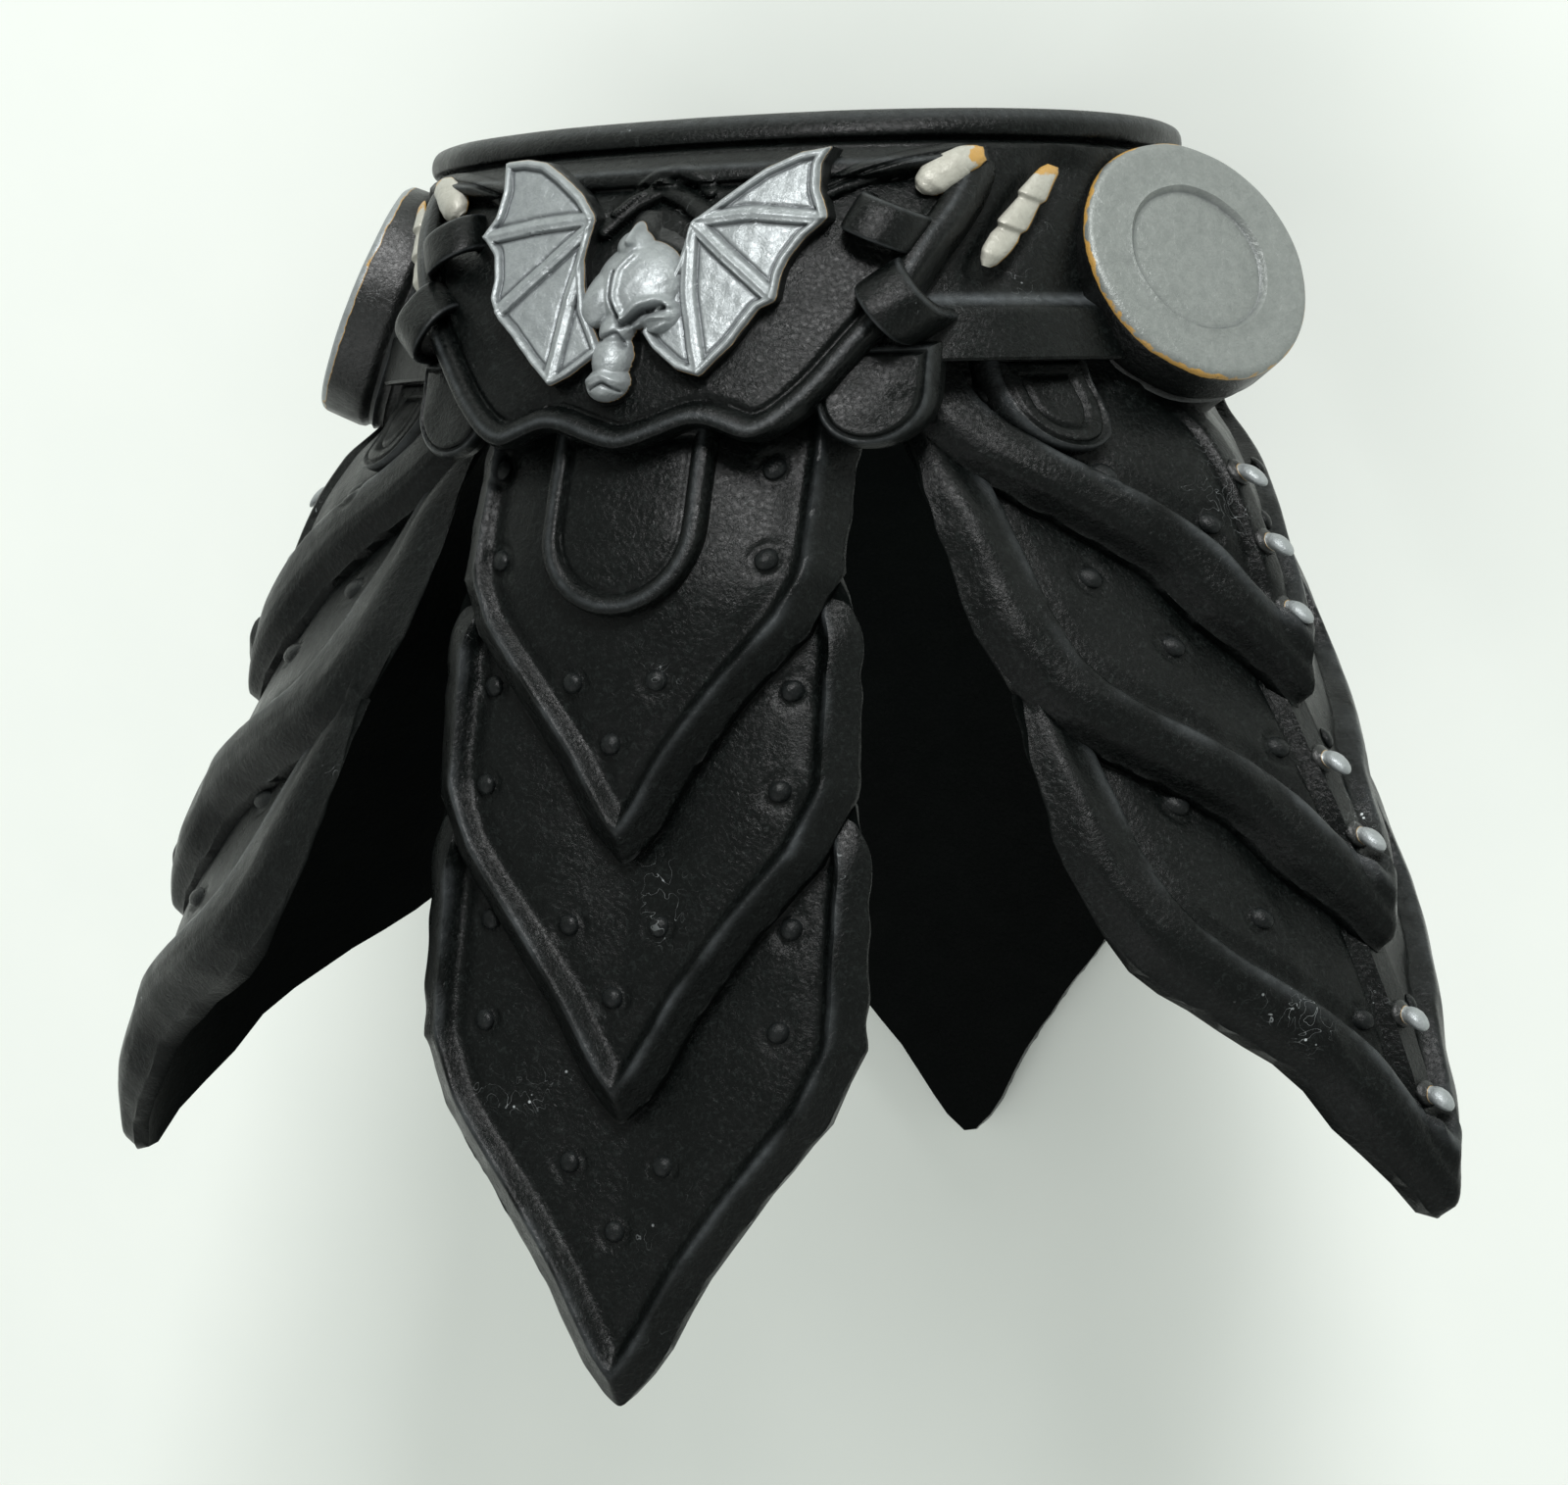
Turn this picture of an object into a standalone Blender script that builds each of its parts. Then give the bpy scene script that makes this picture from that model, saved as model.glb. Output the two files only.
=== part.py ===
"""A moulded fauld, the waist and thigh armour of an action figure.

It is modelled as it is worn, with the waist rim level, the front towards -Y and
the plates hanging down -Z. One empty then lays the whole of it on its back, the
way it comes to rest on a table: on the rear of the rim and on the rear plate.
"""
import math

import bmesh
import bpy
import numpy as np
from mathutils import Vector

MM = 0.001
GAP = 0.35 * MM

# Rolled rim round the waist
RIM_HALF_WIDTH = 17.1 * MM
RIM_DEPTH = 14.4 * MM
RIM_HEIGHT = 1.2 * MM
RIM_WALL = 1.9 * MM
RIM_ROUND = 0.35 * MM
RING_STEPS = 48
TAPER_SIDES = 8
SECTION_POWER = 2.2

# Band below the rim, which steps out to a ledge over the hips
BAND_BOTTOM = 10.5 * MM
BAND_WALL = 1.3 * MM
BAND_FRONT_DEPTH = 20.2 * MM
BAND_REAR_DEPTH = 16.0 * MM
BAND_BULGE = 0.8
LEDGE_DROP = 7.9 * MM
LEDGE_RUN = 0.5 * MM
BAND_TUCK_DROP = 0.4 * LEDGE_DROP
HIP_HALF_WIDTH = 17.5 * MM
LEDGE_HALF_WIDTH = 18.5 * MM
BAND_HALF_WIDTH = 18.9 * MM

# Shield-shaped belt plate and the cord that borders it
BELT_CENTRE = -0.3 * MM
BELT_HALF_WIDTH = 12.7 * MM
BELT_DROP = 13.6 * MM
BELT_THICKNESS = 0.9 * MM
CORD_DIAMETER = 0.9 * MM
CORD_STEPS = 56
CORD_SINK = 0.15 * MM
BELT_SIDE_SHARE = 0.985

# Bat ornament
BAT_LIFT = 0.35 * MM
WING_SPAN = 7.6 * MM
WING_HEIGHT = 9.4 * MM
WING_TOP = 1.7 * MM
WING_THICKNESS = 0.9 * MM
BODY_TOP = 4.3 * MM
BODY_LENGTH = 8.0 * MM
BODY_HALF_WIDTH = 1.6 * MM
BODY_HALF_DEPTH = 1.3 * MM

# Hip discs
HUB_SIDE = 19.6 * MM
HUB_FRONT = 6.2 * MM
HUB_DROP = 6.3 * MM
HUB_AZIMUTHS = {1: math.radians(50), -1: math.radians(62)}
HUB_TILT = math.radians(24)
HUB_RADIUS = 5.55 * MM
HUB_CAP_HEIGHT = 2.3 * MM
HUB_BASE_RADIUS = 5.3 * MM
HUB_BASE_HEIGHT = 6.0 * MM
DISC_RECESS_RADIUS = 3.3 * MM
DISC_RECESS_DEPTH = 0.25 * MM
HUB_EDGE_ROUND = 0.25 * MM

# Hanging plates
PLATE_TOP = BAND_BOTTOM + GAP
LAME_THICKNESS = 1.0 * MM
LAME_OVERLAP = 2.0 * MM
LAME_TUCK = 2.0 * MM
BORDER_WIDTH = 2.0 * MM
BORDER_HEIGHT = 0.5 * MM
FRONT_TIP_DROP = 51.3 * MM
FRONT_SET_BACK = 0.2 * MM
FRONT_TOP_DEPTH = BAND_FRONT_DEPTH - FRONT_SET_BACK
FRONT_TIP_DEPTH = 27.2 * MM
FRONT_TOP_RADIUS = 11.0 * MM
FRONT_TIP_RADIUS = 34.0 * MM
REAR_TIP_DEPTH = 25.0 * MM
REAR_RADIUS = 400.0 * MM
SIDE_AZIMUTH = math.radians(71)
SIDE_TIP_DROP = 46.1 * MM
SIDE_TOP_RADIUS = 19.0 * MM
SIDE_SETTLE = 0.4
SPINE_HALF_WIDTH = 0.75 * MM
SPINE_HEIGHT = 0.4 * MM
SPINE_GROOVE = 0.35 * MM

# The soft side plates have set differently: radius of the tip, then turn about the spine, slope in
# front of it, slope behind it and rounding of the ridge. The top of both is like the right plate's.
SIDE_SHAPES = {
    1: (32.4 * MM, 0.0, 0.55, 0.55, 2.0 * MM),
    -1: (33.8 * MM, math.radians(19), 1.3, 1.1, 5.0 * MM),
}

# Flare of the plates: share of their height, share of how far they lean out
FRONT_FLARE = [(0.0, 0.0), (0.2, 0.5), (1.0, 1.0)]
SIDE_FLARE = [(0.0, 0.0), (0.13, 0.25), (0.41, 0.54), (0.68, 0.8), (1.0, 1.0)]

# Each lame: half width, drop of its corners and drop of its tip
FRONT_LAMES = {
    "upper": (8.2 * MM, 18.7 * MM, 30.0 * MM),
    "middle": (9.0 * MM, 27.4 * MM, 40.2 * MM),
    "lower": (9.5 * MM, 37.2 * MM, FRONT_TIP_DROP),
}
SIDE_LAMES = {
    "upper": (12.4 * MM, 13.6 * MM, 25.2 * MM),
    "middle": (12.6 * MM, 24.0 * MM, 35.2 * MM),
    "lower": (12.1 * MM, 33.5 * MM, SIDE_TIP_DROP),
}
# Outline of a lame's point: share of its half width, share of the drop from corner to tip
FRONT_POINT = [(0.0, 1.0), (0.07, 0.96), (0.17, 0.88), (0.35, 0.66), (0.59, 0.435), (0.87, 0.2), (1.0, 0.0)]
SIDE_POINT = [(0.0, 1.0), (0.06, 0.93), (0.15, 0.8), (0.3, 0.63), (0.55, 0.4), (0.9, 0.11), (1.0, 0.0)]

# Raised tongue and tabs
TONGUE_HALF_WIDTH = 3.4 * MM
TONGUE_TOP = 14.7 * MM
TONGUE_DROP = 20.0 * MM
TAB_HALF_WIDTH = 2.1 * MM
TAB_CENTRE = 9.3 * MM
TAB_TOP = 11.2 * MM
TAB_DROP = 13.9 * MM
HIP_TAB_HALF_WIDTH = 1.9 * MM
HIP_TAB_CENTRE = 6.6 * MM
HIP_TAB_TOP = 11.6 * MM
HIP_TAB_DROP = 14.6 * MM
TAB_THICKNESS = 0.5 * MM

# Belt keepers: across the belt, drop, tilt of their arch, width, half span of the arch
LOWER_KEEPER = (10.45 * MM, 8.1 * MM, math.radians(-52), 1.9 * MM, 1.25 * MM)
UPPER_KEEPER = (9.8 * MM, 5.3 * MM, math.radians(-20), 1.4 * MM, 0.9 * MM)
KEEPER_THICKNESS = 0.6 * MM
KEEPER_CROWN = 0.5 * MM

# Claws: across the belt and drop of both ends, largest radius
HORN_ROOT = (12.0 * MM, 2.3 * MM)
HORN_TIP = (10.2 * MM, 3.5 * MM)
HORN_RADIUS = 0.75 * MM
FINGER_TOP = (15.0 * MM, 2.5 * MM)
FINGER_FOOT = (13.2 * MM, 6.7 * MM)
FINGER_RADIUS = 0.6 * MM

# Spikes along each side plate's spine: drop of each one, lame by lame
SPIKE_DROPS = {
    "upper": (15.3 * MM, 18.2 * MM, 21.0 * MM),
    "middle": (27.2 * MM, 30.3 * MM),
    "lower": (37.6 * MM, 40.8 * MM),
}
SPIKE_LENGTH = 1.1 * MM
SPIKE_RADIUS = 0.45 * MM

# Slope of the line from the rear of the rim to the rear tip, on which it lies
REST_PITCH = math.atan2(REAR_TIP_DEPTH - RIM_DEPTH, FRONT_TIP_DROP)


def clear_scene():
    """Remove every object of the start-up scene."""
    for item in list(bpy.data.objects):
        bpy.data.objects.remove(item, do_unlink=True)


def make_material(name, colour, roughness, metallic):
    """A Principled material with one colour."""
    material = bpy.data.materials.new(name)
    material.use_nodes = True
    shader = material.node_tree.nodes["Principled BSDF"]
    shader.inputs["Base Color"].default_value = (*colour, 1.0)
    shader.inputs["Roughness"].default_value = roughness
    shader.inputs["Metallic"].default_value = metallic
    return material


def add_object(name, mesh, material, parent, smooth_angle=None):
    """Put a mesh into the scene under the resting frame."""
    mesh.materials.append(material)
    if smooth_angle is not None:
        mesh.shade_smooth()
        mesh.set_sharp_from_angle(angle=smooth_angle)
    item = bpy.data.objects.new(name, mesh)
    bpy.context.scene.collection.objects.link(item)
    item.parent = parent
    return item


def closed_mesh(name, points, faces):
    """A mesh from points and faces, with its normals turned outwards."""
    mesh = bpy.data.meshes.new(name)
    mesh.from_pydata([tuple(point) for point in points], [], faces)
    edit = bmesh.new()
    edit.from_mesh(mesh)
    bmesh.ops.recalc_face_normals(edit, faces=edit.faces)
    edit.to_mesh(mesh)
    edit.free()
    return mesh


def loop_mesh(name, loops, closed_profile):
    """Skin a row of closed loops; cap both ends unless the row itself closes."""
    loops = np.asarray(loops)
    rows, count = loops.shape[:2]
    spans = rows if closed_profile else rows - 1
    faces = []
    for row in range(spans):
        after = (row + 1) % rows
        for step in range(count):
            turn = (step + 1) % count
            faces.append((row * count + step, row * count + turn, after * count + turn, after * count + step))
    if not closed_profile:
        faces.append(tuple(range(count)))
        faces.append(tuple((rows - 1) * count + step for step in reversed(range(count))))
    return closed_mesh(name, loops.reshape(-1, 3), faces)


def sheet_mesh(name, outer, inner):
    """A wall between an outer and an inner grid of points, closed round its edge."""
    rows, columns = outer.shape[:2]
    size = rows * columns
    index = np.arange(size).reshape(rows, columns)
    faces = []
    for row in range(rows - 1):
        for column in range(columns - 1):
            corner = (index[row, column], index[row, column + 1],
                      index[row + 1, column + 1], index[row + 1, column])
            faces.append(tuple(int(place) for place in corner))
            faces.append(tuple(int(place) + size for place in reversed(corner)))
    edge = list(index[0, :]) + list(index[1:, -1]) + list(index[-1, -2::-1]) + list(index[-2:0:-1, 0])
    for place, after in zip(edge, edge[1:] + edge[:1]):
        faces.append((int(place), int(after), int(after) + size, int(place) + size))
    points = np.concatenate([outer.reshape(-1, 3), inner.reshape(-1, 3)])
    return closed_mesh(name, points, faces)


def table_value(table, share):
    """Read the second column of a table at a share of its first."""
    columns = np.array(table)
    return np.interp(share, columns[:, 0], columns[:, 1])


def waist_loop(half_width, front_depth, rear_depth, height):
    """One level loop round the waist: a superellipse that is deeper in front."""
    angle = np.linspace(0.0, 2.0 * math.pi, RING_STEPS, endpoint=False)
    power = 2.0 / SECTION_POWER
    across = np.sign(np.sin(angle)) * np.abs(np.sin(angle)) ** power
    along = np.sign(np.cos(angle)) * np.abs(np.cos(angle)) ** power
    depth = np.where(along > 0.0, front_depth, rear_depth)
    return np.stack([half_width * across, -depth * along, np.full(RING_STEPS, height)], axis=1)


def band_front(drop):
    """Depth of the band's outer face in front: it bulges out just under the rim."""
    return RIM_DEPTH + (BAND_FRONT_DEPTH - RIM_DEPTH) * (np.maximum(drop, 0.0) / BAND_BOTTOM) ** BAND_BULGE


def band_rear(drop):
    """Depth of the band's outer face behind, along a straight flare."""
    return RIM_DEPTH + (BAND_REAR_DEPTH - RIM_DEPTH) * np.maximum(drop, 0.0) / BAND_BOTTOM


def belt_point(across, drop, lift):
    """A point in front of the band, lifted off its outer face."""
    share = np.clip(drop / (LEDGE_DROP + LEDGE_RUN), 0.0, 1.0)
    half_width = RIM_HALF_WIDTH + (BAND_HALF_WIDTH - RIM_HALF_WIDTH) * share + lift
    depth = band_front(drop) + lift
    inside = np.clip(1.0 - np.abs(across / half_width) ** SECTION_POWER, 1e-4, 1.0)
    return np.stack([across, -depth * inside ** (1.0 / SECTION_POWER), -drop], axis=-1)


def front_point(across, drop, lift):
    """A point on the front plate, a trough whose curve opens towards the tip."""
    share = (drop - PLATE_TOP) / (FRONT_TIP_DROP - PLATE_TOP)
    flare = table_value(FRONT_FLARE, share)
    radius = FRONT_TOP_RADIUS + (FRONT_TIP_RADIUS - FRONT_TOP_RADIUS) * np.maximum(share, 0.0)
    depth = FRONT_TOP_DEPTH + (FRONT_TIP_DEPTH - FRONT_TOP_DEPTH) * flare
    return np.stack([across, across ** 2 / (2.0 * radius) - depth - lift, -drop], axis=-1)


def rear_point(across, drop, lift):
    """A point on the rear plate, nearly flat and along the line it lies on."""
    depth = RIM_DEPTH + math.tan(REST_PITCH) * drop - BORDER_HEIGHT
    return np.stack([across, depth + lift - across ** 2 / (2.0 * REAR_RADIUS), -drop], axis=-1)


def side_point(across, drop, lift, side=1):
    """A point on a side plate, folded along a rounded spine that leans outwards."""
    tip_radius, turn, front_slope, rear_slope, rounding = SIDE_SHAPES[side]
    _, _, top_front, top_rear, top_rounding = SIDE_SHAPES[1]
    share = np.clip((drop - PLATE_TOP) / (SIDE_TIP_DROP - PLATE_TOP), 0.0, 1.0)
    settled = np.clip(share / SIDE_SETTLE, 0.0, 1.0)
    spine = SIDE_TOP_RADIUS + (tip_radius - SIDE_TOP_RADIUS) * table_value(SIDE_FLARE, share)
    front_slope = top_front + (front_slope - top_front) * settled
    rear_slope = top_rear + (rear_slope - top_rear) * settled
    rounding = top_rounding + (rounding - top_rounding) * settled
    slope = np.where(across < 0.0, front_slope, rear_slope)
    reach = np.sqrt(across ** 2 + rounding ** 2)
    stretch = np.sqrt(1.0 + (slope * across / reach) ** 2)
    outward = lift * stretch - slope * (reach - rounding)
    facing = SIDE_AZIMUTH + turn * settled
    out_x, out_y = np.sin(facing), -np.cos(facing)
    x = spine * math.sin(SIDE_AZIMUTH) + outward * out_x - across * out_y
    y = outward * out_y + across * out_x - spine * math.cos(SIDE_AZIMUTH)
    return np.stack([side * x, y, -drop], axis=-1)


def border_bead(distance):
    """Height of the rounded border at a distance from a lame's edge."""
    share = np.clip(distance / BORDER_WIDTH, 0.0, 1.0)
    return BORDER_HEIGHT * np.sin(math.pi * share) ** 0.7


def point_drop(share, lame, outline):
    """Drop of a lame's lower edge at a share of its half width."""
    half_width, corner, tip = lame
    return corner + (tip - corner) * table_value(outline, np.abs(share))


def lame_grid(surface, lame, above, outline, spine):
    """Outer and inner grids of one lame, tucked under the lame above it."""
    half_width = lame[0]
    edge = BORDER_WIDTH * np.array([0.0, 0.15, 0.5, 0.85, 1.0])
    middle = np.array([0.5, 0.25]) * half_width
    if spine:
        middle = np.array([0.5 * half_width, SPINE_HALF_WIDTH + SPINE_GROOVE, SPINE_HALF_WIDTH])
    half = np.concatenate([edge - half_width, -middle])
    across = np.concatenate([half, [0.0], -half[::-1]])
    bottom = point_drop(across / half_width, lame, outline)
    if above is None:
        top = np.full_like(across, PLATE_TOP)
        hidden = top
    else:
        reach = np.clip(across / above[0], -1.0, 1.0)
        hidden = point_drop(reach, above, outline)
        top = hidden - LAME_OVERLAP
    rows = [top, 0.5 * (top + bottom) - 0.5 * BORDER_WIDTH]
    rows += [bottom - distance for distance in edge[::-1]]
    drop = np.array(rows)
    across = np.broadcast_to(across, drop.shape)
    tuck = np.zeros_like(drop)
    if above is not None:
        visible = bottom - hidden - LAME_OVERLAP - BORDER_WIDTH
        tuck = LAME_TUCK * np.clip(1.0 - (drop - hidden) / visible, 0.0, 1.0)
    side_distance = half_width - np.abs(across)
    relief = np.maximum(border_bead(bottom - drop), border_bead(side_distance))
    relief = np.where(side_distance < 0.5 * BORDER_WIDTH, border_bead(side_distance), relief)
    shown = drop >= hidden
    relief = np.where(shown, relief, 0.0)
    if spine:
        on_spine = (np.abs(across) <= SPINE_HALF_WIDTH) & (bottom - drop >= BORDER_WIDTH) & shown
        relief = np.where(on_spine, SPINE_HEIGHT, relief)
    outer = surface(across, drop, relief - tuck)
    inner = surface(across, drop, -tuck - LAME_THICKNESS)
    return outer, inner


def tongue_grid(surface, centre, half_width, top, bottom, lift, thickness):
    """Grids of a small tab with a straight top and a round lower end."""
    share = np.sin(np.linspace(-0.5, 0.5, 11) * math.pi) * 0.995
    across = centre + half_width * share
    end = bottom - half_width * (1.0 - np.sqrt(1.0 - share ** 2))
    drop = top + np.linspace(0.0, 1.0, 4)[:, None] * (end - top)
    across = np.broadcast_to(across, drop.shape)
    return surface(across, drop, lift + thickness), surface(across, drop, lift)


def build_waist(black, parent):
    """The rolled rim, and the band that hangs from it."""
    rim = []
    for inset, drop in ((RIM_ROUND, 0.0), (0.0, RIM_ROUND), (0.0, RIM_HEIGHT - RIM_ROUND),
                        (RIM_ROUND, RIM_HEIGHT), (RIM_WALL, RIM_HEIGHT), (RIM_WALL, 0.0)):
        rim.append(waist_loop(RIM_HALF_WIDTH - inset, RIM_DEPTH - inset, RIM_DEPTH - inset, -drop))
    add_object("waist_rim", loop_mesh("waist_rim", rim, True), black, parent, math.radians(40))
    top = RIM_HEIGHT + GAP
    levels = [(top, RIM_HALF_WIDTH), (BAND_TUCK_DROP, RIM_HALF_WIDTH), (LEDGE_DROP, HIP_HALF_WIDTH),
              (LEDGE_DROP + LEDGE_RUN, LEDGE_HALF_WIDTH), (BAND_BOTTOM, BAND_HALF_WIDTH)]
    outer = []
    inner = []
    for drop, half_width in levels:
        front = float(band_front(drop))
        rear = float(band_rear(drop))
        outer.append(waist_loop(half_width, front, rear, -drop))
        inner.append(waist_loop(half_width - BAND_WALL, front - BAND_WALL, rear - BAND_WALL, -drop))
    band = loop_mesh("waist_band", outer + inner[::-1], True)
    add_object("waist_band", band, black, parent, math.radians(40))


def cord_outline():
    """Route of the belt cord: shares of the belt's half width and drop, centre to top."""
    table = [(0.0, 1.0), (0.12, 0.965), (0.25, 0.915), (0.33, 0.945), (0.42, 0.985), (0.52, 0.94),
             (0.63, 0.84), (0.75, 0.69), (0.82, 0.61), (0.89, 0.49), (0.97, 0.34), (1.0, 0.26)]
    half = np.array(table) * (BELT_HALF_WIDTH, BELT_DROP)
    whole = np.concatenate([half[:0:-1] * (-1.0, 1.0), half])
    length = np.concatenate([[0.0], np.cumsum(np.linalg.norm(np.diff(whole, axis=0), axis=1))])
    return smooth_route(whole, length, CORD_STEPS)


def smooth_route(points, length, count):
    """Points evenly along a Catmull-Rom curve through the given ones."""
    place = np.linspace(0.0, length[-1], count)
    span = np.clip(np.searchsorted(length, place) - 1, 0, len(points) - 2)
    share = ((place - length[span]) / (length[span + 1] - length[span]))[:, None]
    before = points[np.maximum(span - 1, 0)]
    start = points[span]
    end = points[span + 1]
    after = points[np.minimum(span + 2, len(points) - 1)]
    square = 2.0 * before - 5.0 * start + 4.0 * end - after
    cube = 3.0 * start - before - 3.0 * end + after
    return 0.5 * (2.0 * start + (end - before) * share + square * share ** 2 + cube * share ** 3)


def build_belt(black, parent):
    """The belt plate in front of the band, and the cord round its edge."""
    route = cord_outline()
    direction = np.gradient(route, axis=0)
    direction /= np.linalg.norm(direction, axis=1)[:, None]
    inset = CORD_DIAMETER / 2.0 + GAP
    edge = route + inset * np.stack([direction[:, 1], -direction[:, 0]], axis=1)
    side = (BELT_HALF_WIDTH - inset) * BELT_SIDE_SHARE
    share = np.linspace(-1.0, 1.0, 27)
    across = side * share
    order = np.argsort(edge[:, 0])
    bottom = np.interp(across, edge[order, 0], edge[order, 1])
    top = RIM_HEIGHT + GAP
    drop = top + np.linspace(0.0, 1.0, 6)[:, None] * (bottom - top)
    across = np.broadcast_to(across + BELT_CENTRE, drop.shape)
    outer = belt_point(across, drop, GAP + BELT_THICKNESS)
    inner = belt_point(across, drop, GAP)
    add_object("belt_plate", sheet_mesh("belt_plate", outer, inner), black, parent, math.radians(40))
    curve = bpy.data.curves.new("belt_cord", "CURVE")
    curve.dimensions = "3D"
    curve.bevel_depth = CORD_DIAMETER / 2.0
    curve.bevel_resolution = 2
    curve.use_fill_caps = True
    spline = curve.splines.new("POLY")
    spline.points.add(CORD_STEPS - 1)
    path = belt_point(route[:, 0] + BELT_CENTRE, route[:, 1], GAP + BELT_THICKNESS - CORD_SINK)
    for point, place in zip(spline.points, path):
        point.co = (*place, 1.0)
    cord = bpy.data.objects.new("belt_cord", curve)
    bpy.context.scene.collection.objects.link(cord)
    curve.materials.append(black)
    cord.parent = parent


def build_keeper(name, side, keeper, legs, black, parent):
    """A flat loop of strap that arches over the belt, standing on it or beside it."""
    across, drop, tilt, width, reach = keeper
    inner_leg, outer_leg = legs
    rise = GAP + BELT_THICKNESS + CORD_DIAMETER
    crown = rise + KEEPER_CROWN
    shoulder = rise + 0.8 * KEEPER_CROWN
    knee = 0.5 * (rise + outer_leg)
    arch = np.array([(-reach, inner_leg), (-0.85 * reach, rise), (-0.4 * reach, shoulder), (0.0, crown),
                     (0.4 * reach, shoulder), (0.85 * reach, rise), (reach, knee), (reach, outer_leg)])
    along = np.gradient(arch, axis=0)
    along /= np.linalg.norm(along, axis=1)[:, None]
    normal = np.stack([-along[:, 1], along[:, 0]], axis=1) * KEEPER_THICKNESS / 2.0
    loops = []
    for (place, lift), (shift, raise_by) in zip(arch, normal):
        corners = []
        for sign, end in ((1.0, -0.5), (1.0, 0.5), (-1.0, 0.5), (-1.0, -0.5)):
            step = place + sign * shift
            x = across + BELT_CENTRE * side + step * math.cos(tilt) - end * width * math.sin(tilt)
            z = drop - step * math.sin(tilt) - end * width * math.cos(tilt)
            corners.append(belt_point(np.array(x), np.array(z), lift + sign * raise_by) * (side, 1.0, 1.0))
        loops.append(corners)
    add_object(name, loop_mesh(name, loops, False), black, parent)


def tapered_mesh(name, centres, widths, heights, side_axis, up_axis):
    """Skin ellipses carried along a row of centres."""
    loops = []
    for centre, width, height in zip(centres, widths, heights):
        loop = []
        for step in range(TAPER_SIDES):
            angle = 2.0 * math.pi * step / TAPER_SIDES
            loop.append(centre + side_axis * width * math.cos(angle) + up_axis * height * math.sin(angle))
        loops.append(loop)
    return loop_mesh(name, loops, False)


def unit(vector):
    """A vector at length one."""
    return vector / np.linalg.norm(vector)


def build_claws(side, word, bone, parent):
    """A curled horn by the belt strap, and a finger of three joints beside it."""
    share = np.array([0.0, 0.12, 0.35, 0.65, 0.9, 1.0])
    swell = np.array([0.45, 0.85, 1.0, 0.8, 0.45, 0.15])
    start = np.array(HORN_ROOT)
    end = np.array(HORN_TIP)
    places = start + share[:, None] * (end - start)
    lift = 2.0 * GAP + BELT_THICKNESS + HORN_RADIUS
    centres = belt_point(places[:, 0], places[:, 1], lift)
    run = unit(centres[-1] - centres[0])
    out = unit(np.cross(run, (0.0, 0.0, 1.0)))
    out = out if out[1] < 0.0 else -out
    mesh = tapered_mesh(f"horn_claw_{word}", centres * (side, 1.0, 1.0), HORN_RADIUS * swell, HORN_RADIUS * swell,
                        np.cross(run, out) * (side, 1.0, 1.0), out * (side, 1.0, 1.0))
    add_object(f"horn_claw_{word}", mesh, bone, parent, math.radians(60))
    share = np.array([0.0, 0.06, 0.2, 0.32, 0.37, 0.5, 0.64, 0.69, 0.85, 0.97, 1.0])
    swell = np.array([0.35, 0.7, 0.8, 0.95, 0.75, 0.9, 1.0, 0.8, 1.0, 0.75, 0.4])
    start = np.array(FINGER_TOP)
    end = np.array(FINGER_FOOT)
    places = start + share[:, None] * (end - start)
    centres = belt_point(places[:, 0], places[:, 1], GAP + 0.5 * FINGER_RADIUS)
    run = unit(centres[-1] - centres[0])
    out = unit(np.cross(run, (0.0, 0.0, 1.0)))
    out = out if out[1] < 0.0 else -out
    centres = centres + 0.6 * FINGER_RADIUS * out
    mesh = tapered_mesh(f"finger_claw_{word}", centres * (side, 1.0, 1.0), FINGER_RADIUS * swell,
                        FINGER_RADIUS * swell, np.cross(run, out) * (side, 1.0, 1.0), out * (side, 1.0, 1.0))
    add_object(f"finger_claw_{word}", mesh, bone, parent, math.radians(60))


def build_wing(side, word, silver, parent):
    """A spread wing: a scalloped fan of membrane from the wrist."""
    outline = [(0.63, 0.08), (0.96, 0.0), (0.92, 0.09), (1.0, 0.33), (0.8, 0.56), (0.785, 0.67), (0.7, 0.72),
               (0.58, 0.86), (0.43, 1.0), (0.3, 0.97), (0.15, 0.86), (0.28, 0.66)]
    wrist = np.array([0.28, 0.31])
    points = [wrist] + [wrist + 0.5 * (np.array(place) - wrist) for place in outline]
    points += [np.array(place) for place in outline]
    points = np.array(points)
    across = points[:, 0] * WING_SPAN * side + BELT_CENTRE
    drop = WING_TOP + points[:, 1] * WING_HEIGHT
    lift = GAP + BELT_THICKNESS + BAT_LIFT
    outer = belt_point(across, drop, lift + WING_THICKNESS)
    inner = belt_point(across, drop, lift)
    count = len(outline)
    faces = []
    for step in range(count - 1):
        near = (1 + step, 2 + step)
        far = (1 + count + step, 2 + count + step)
        faces.append((0, near[0], near[1]))
        faces.append((near[0], far[0], far[1], near[1]))
    size = len(points)
    faces += [tuple(place + size for place in reversed(face)) for face in faces]
    edge = [0, 1] + [1 + count + step for step in range(count)] + [count]
    for place, after in zip(edge, edge[1:] + edge[:1]):
        faces.append((place, after, after + size, place + size))
    mesh = closed_mesh(f"bat_wing_{word}", np.concatenate([outer, inner]), faces)
    add_object(f"bat_wing_{word}", mesh, silver, parent)


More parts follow.
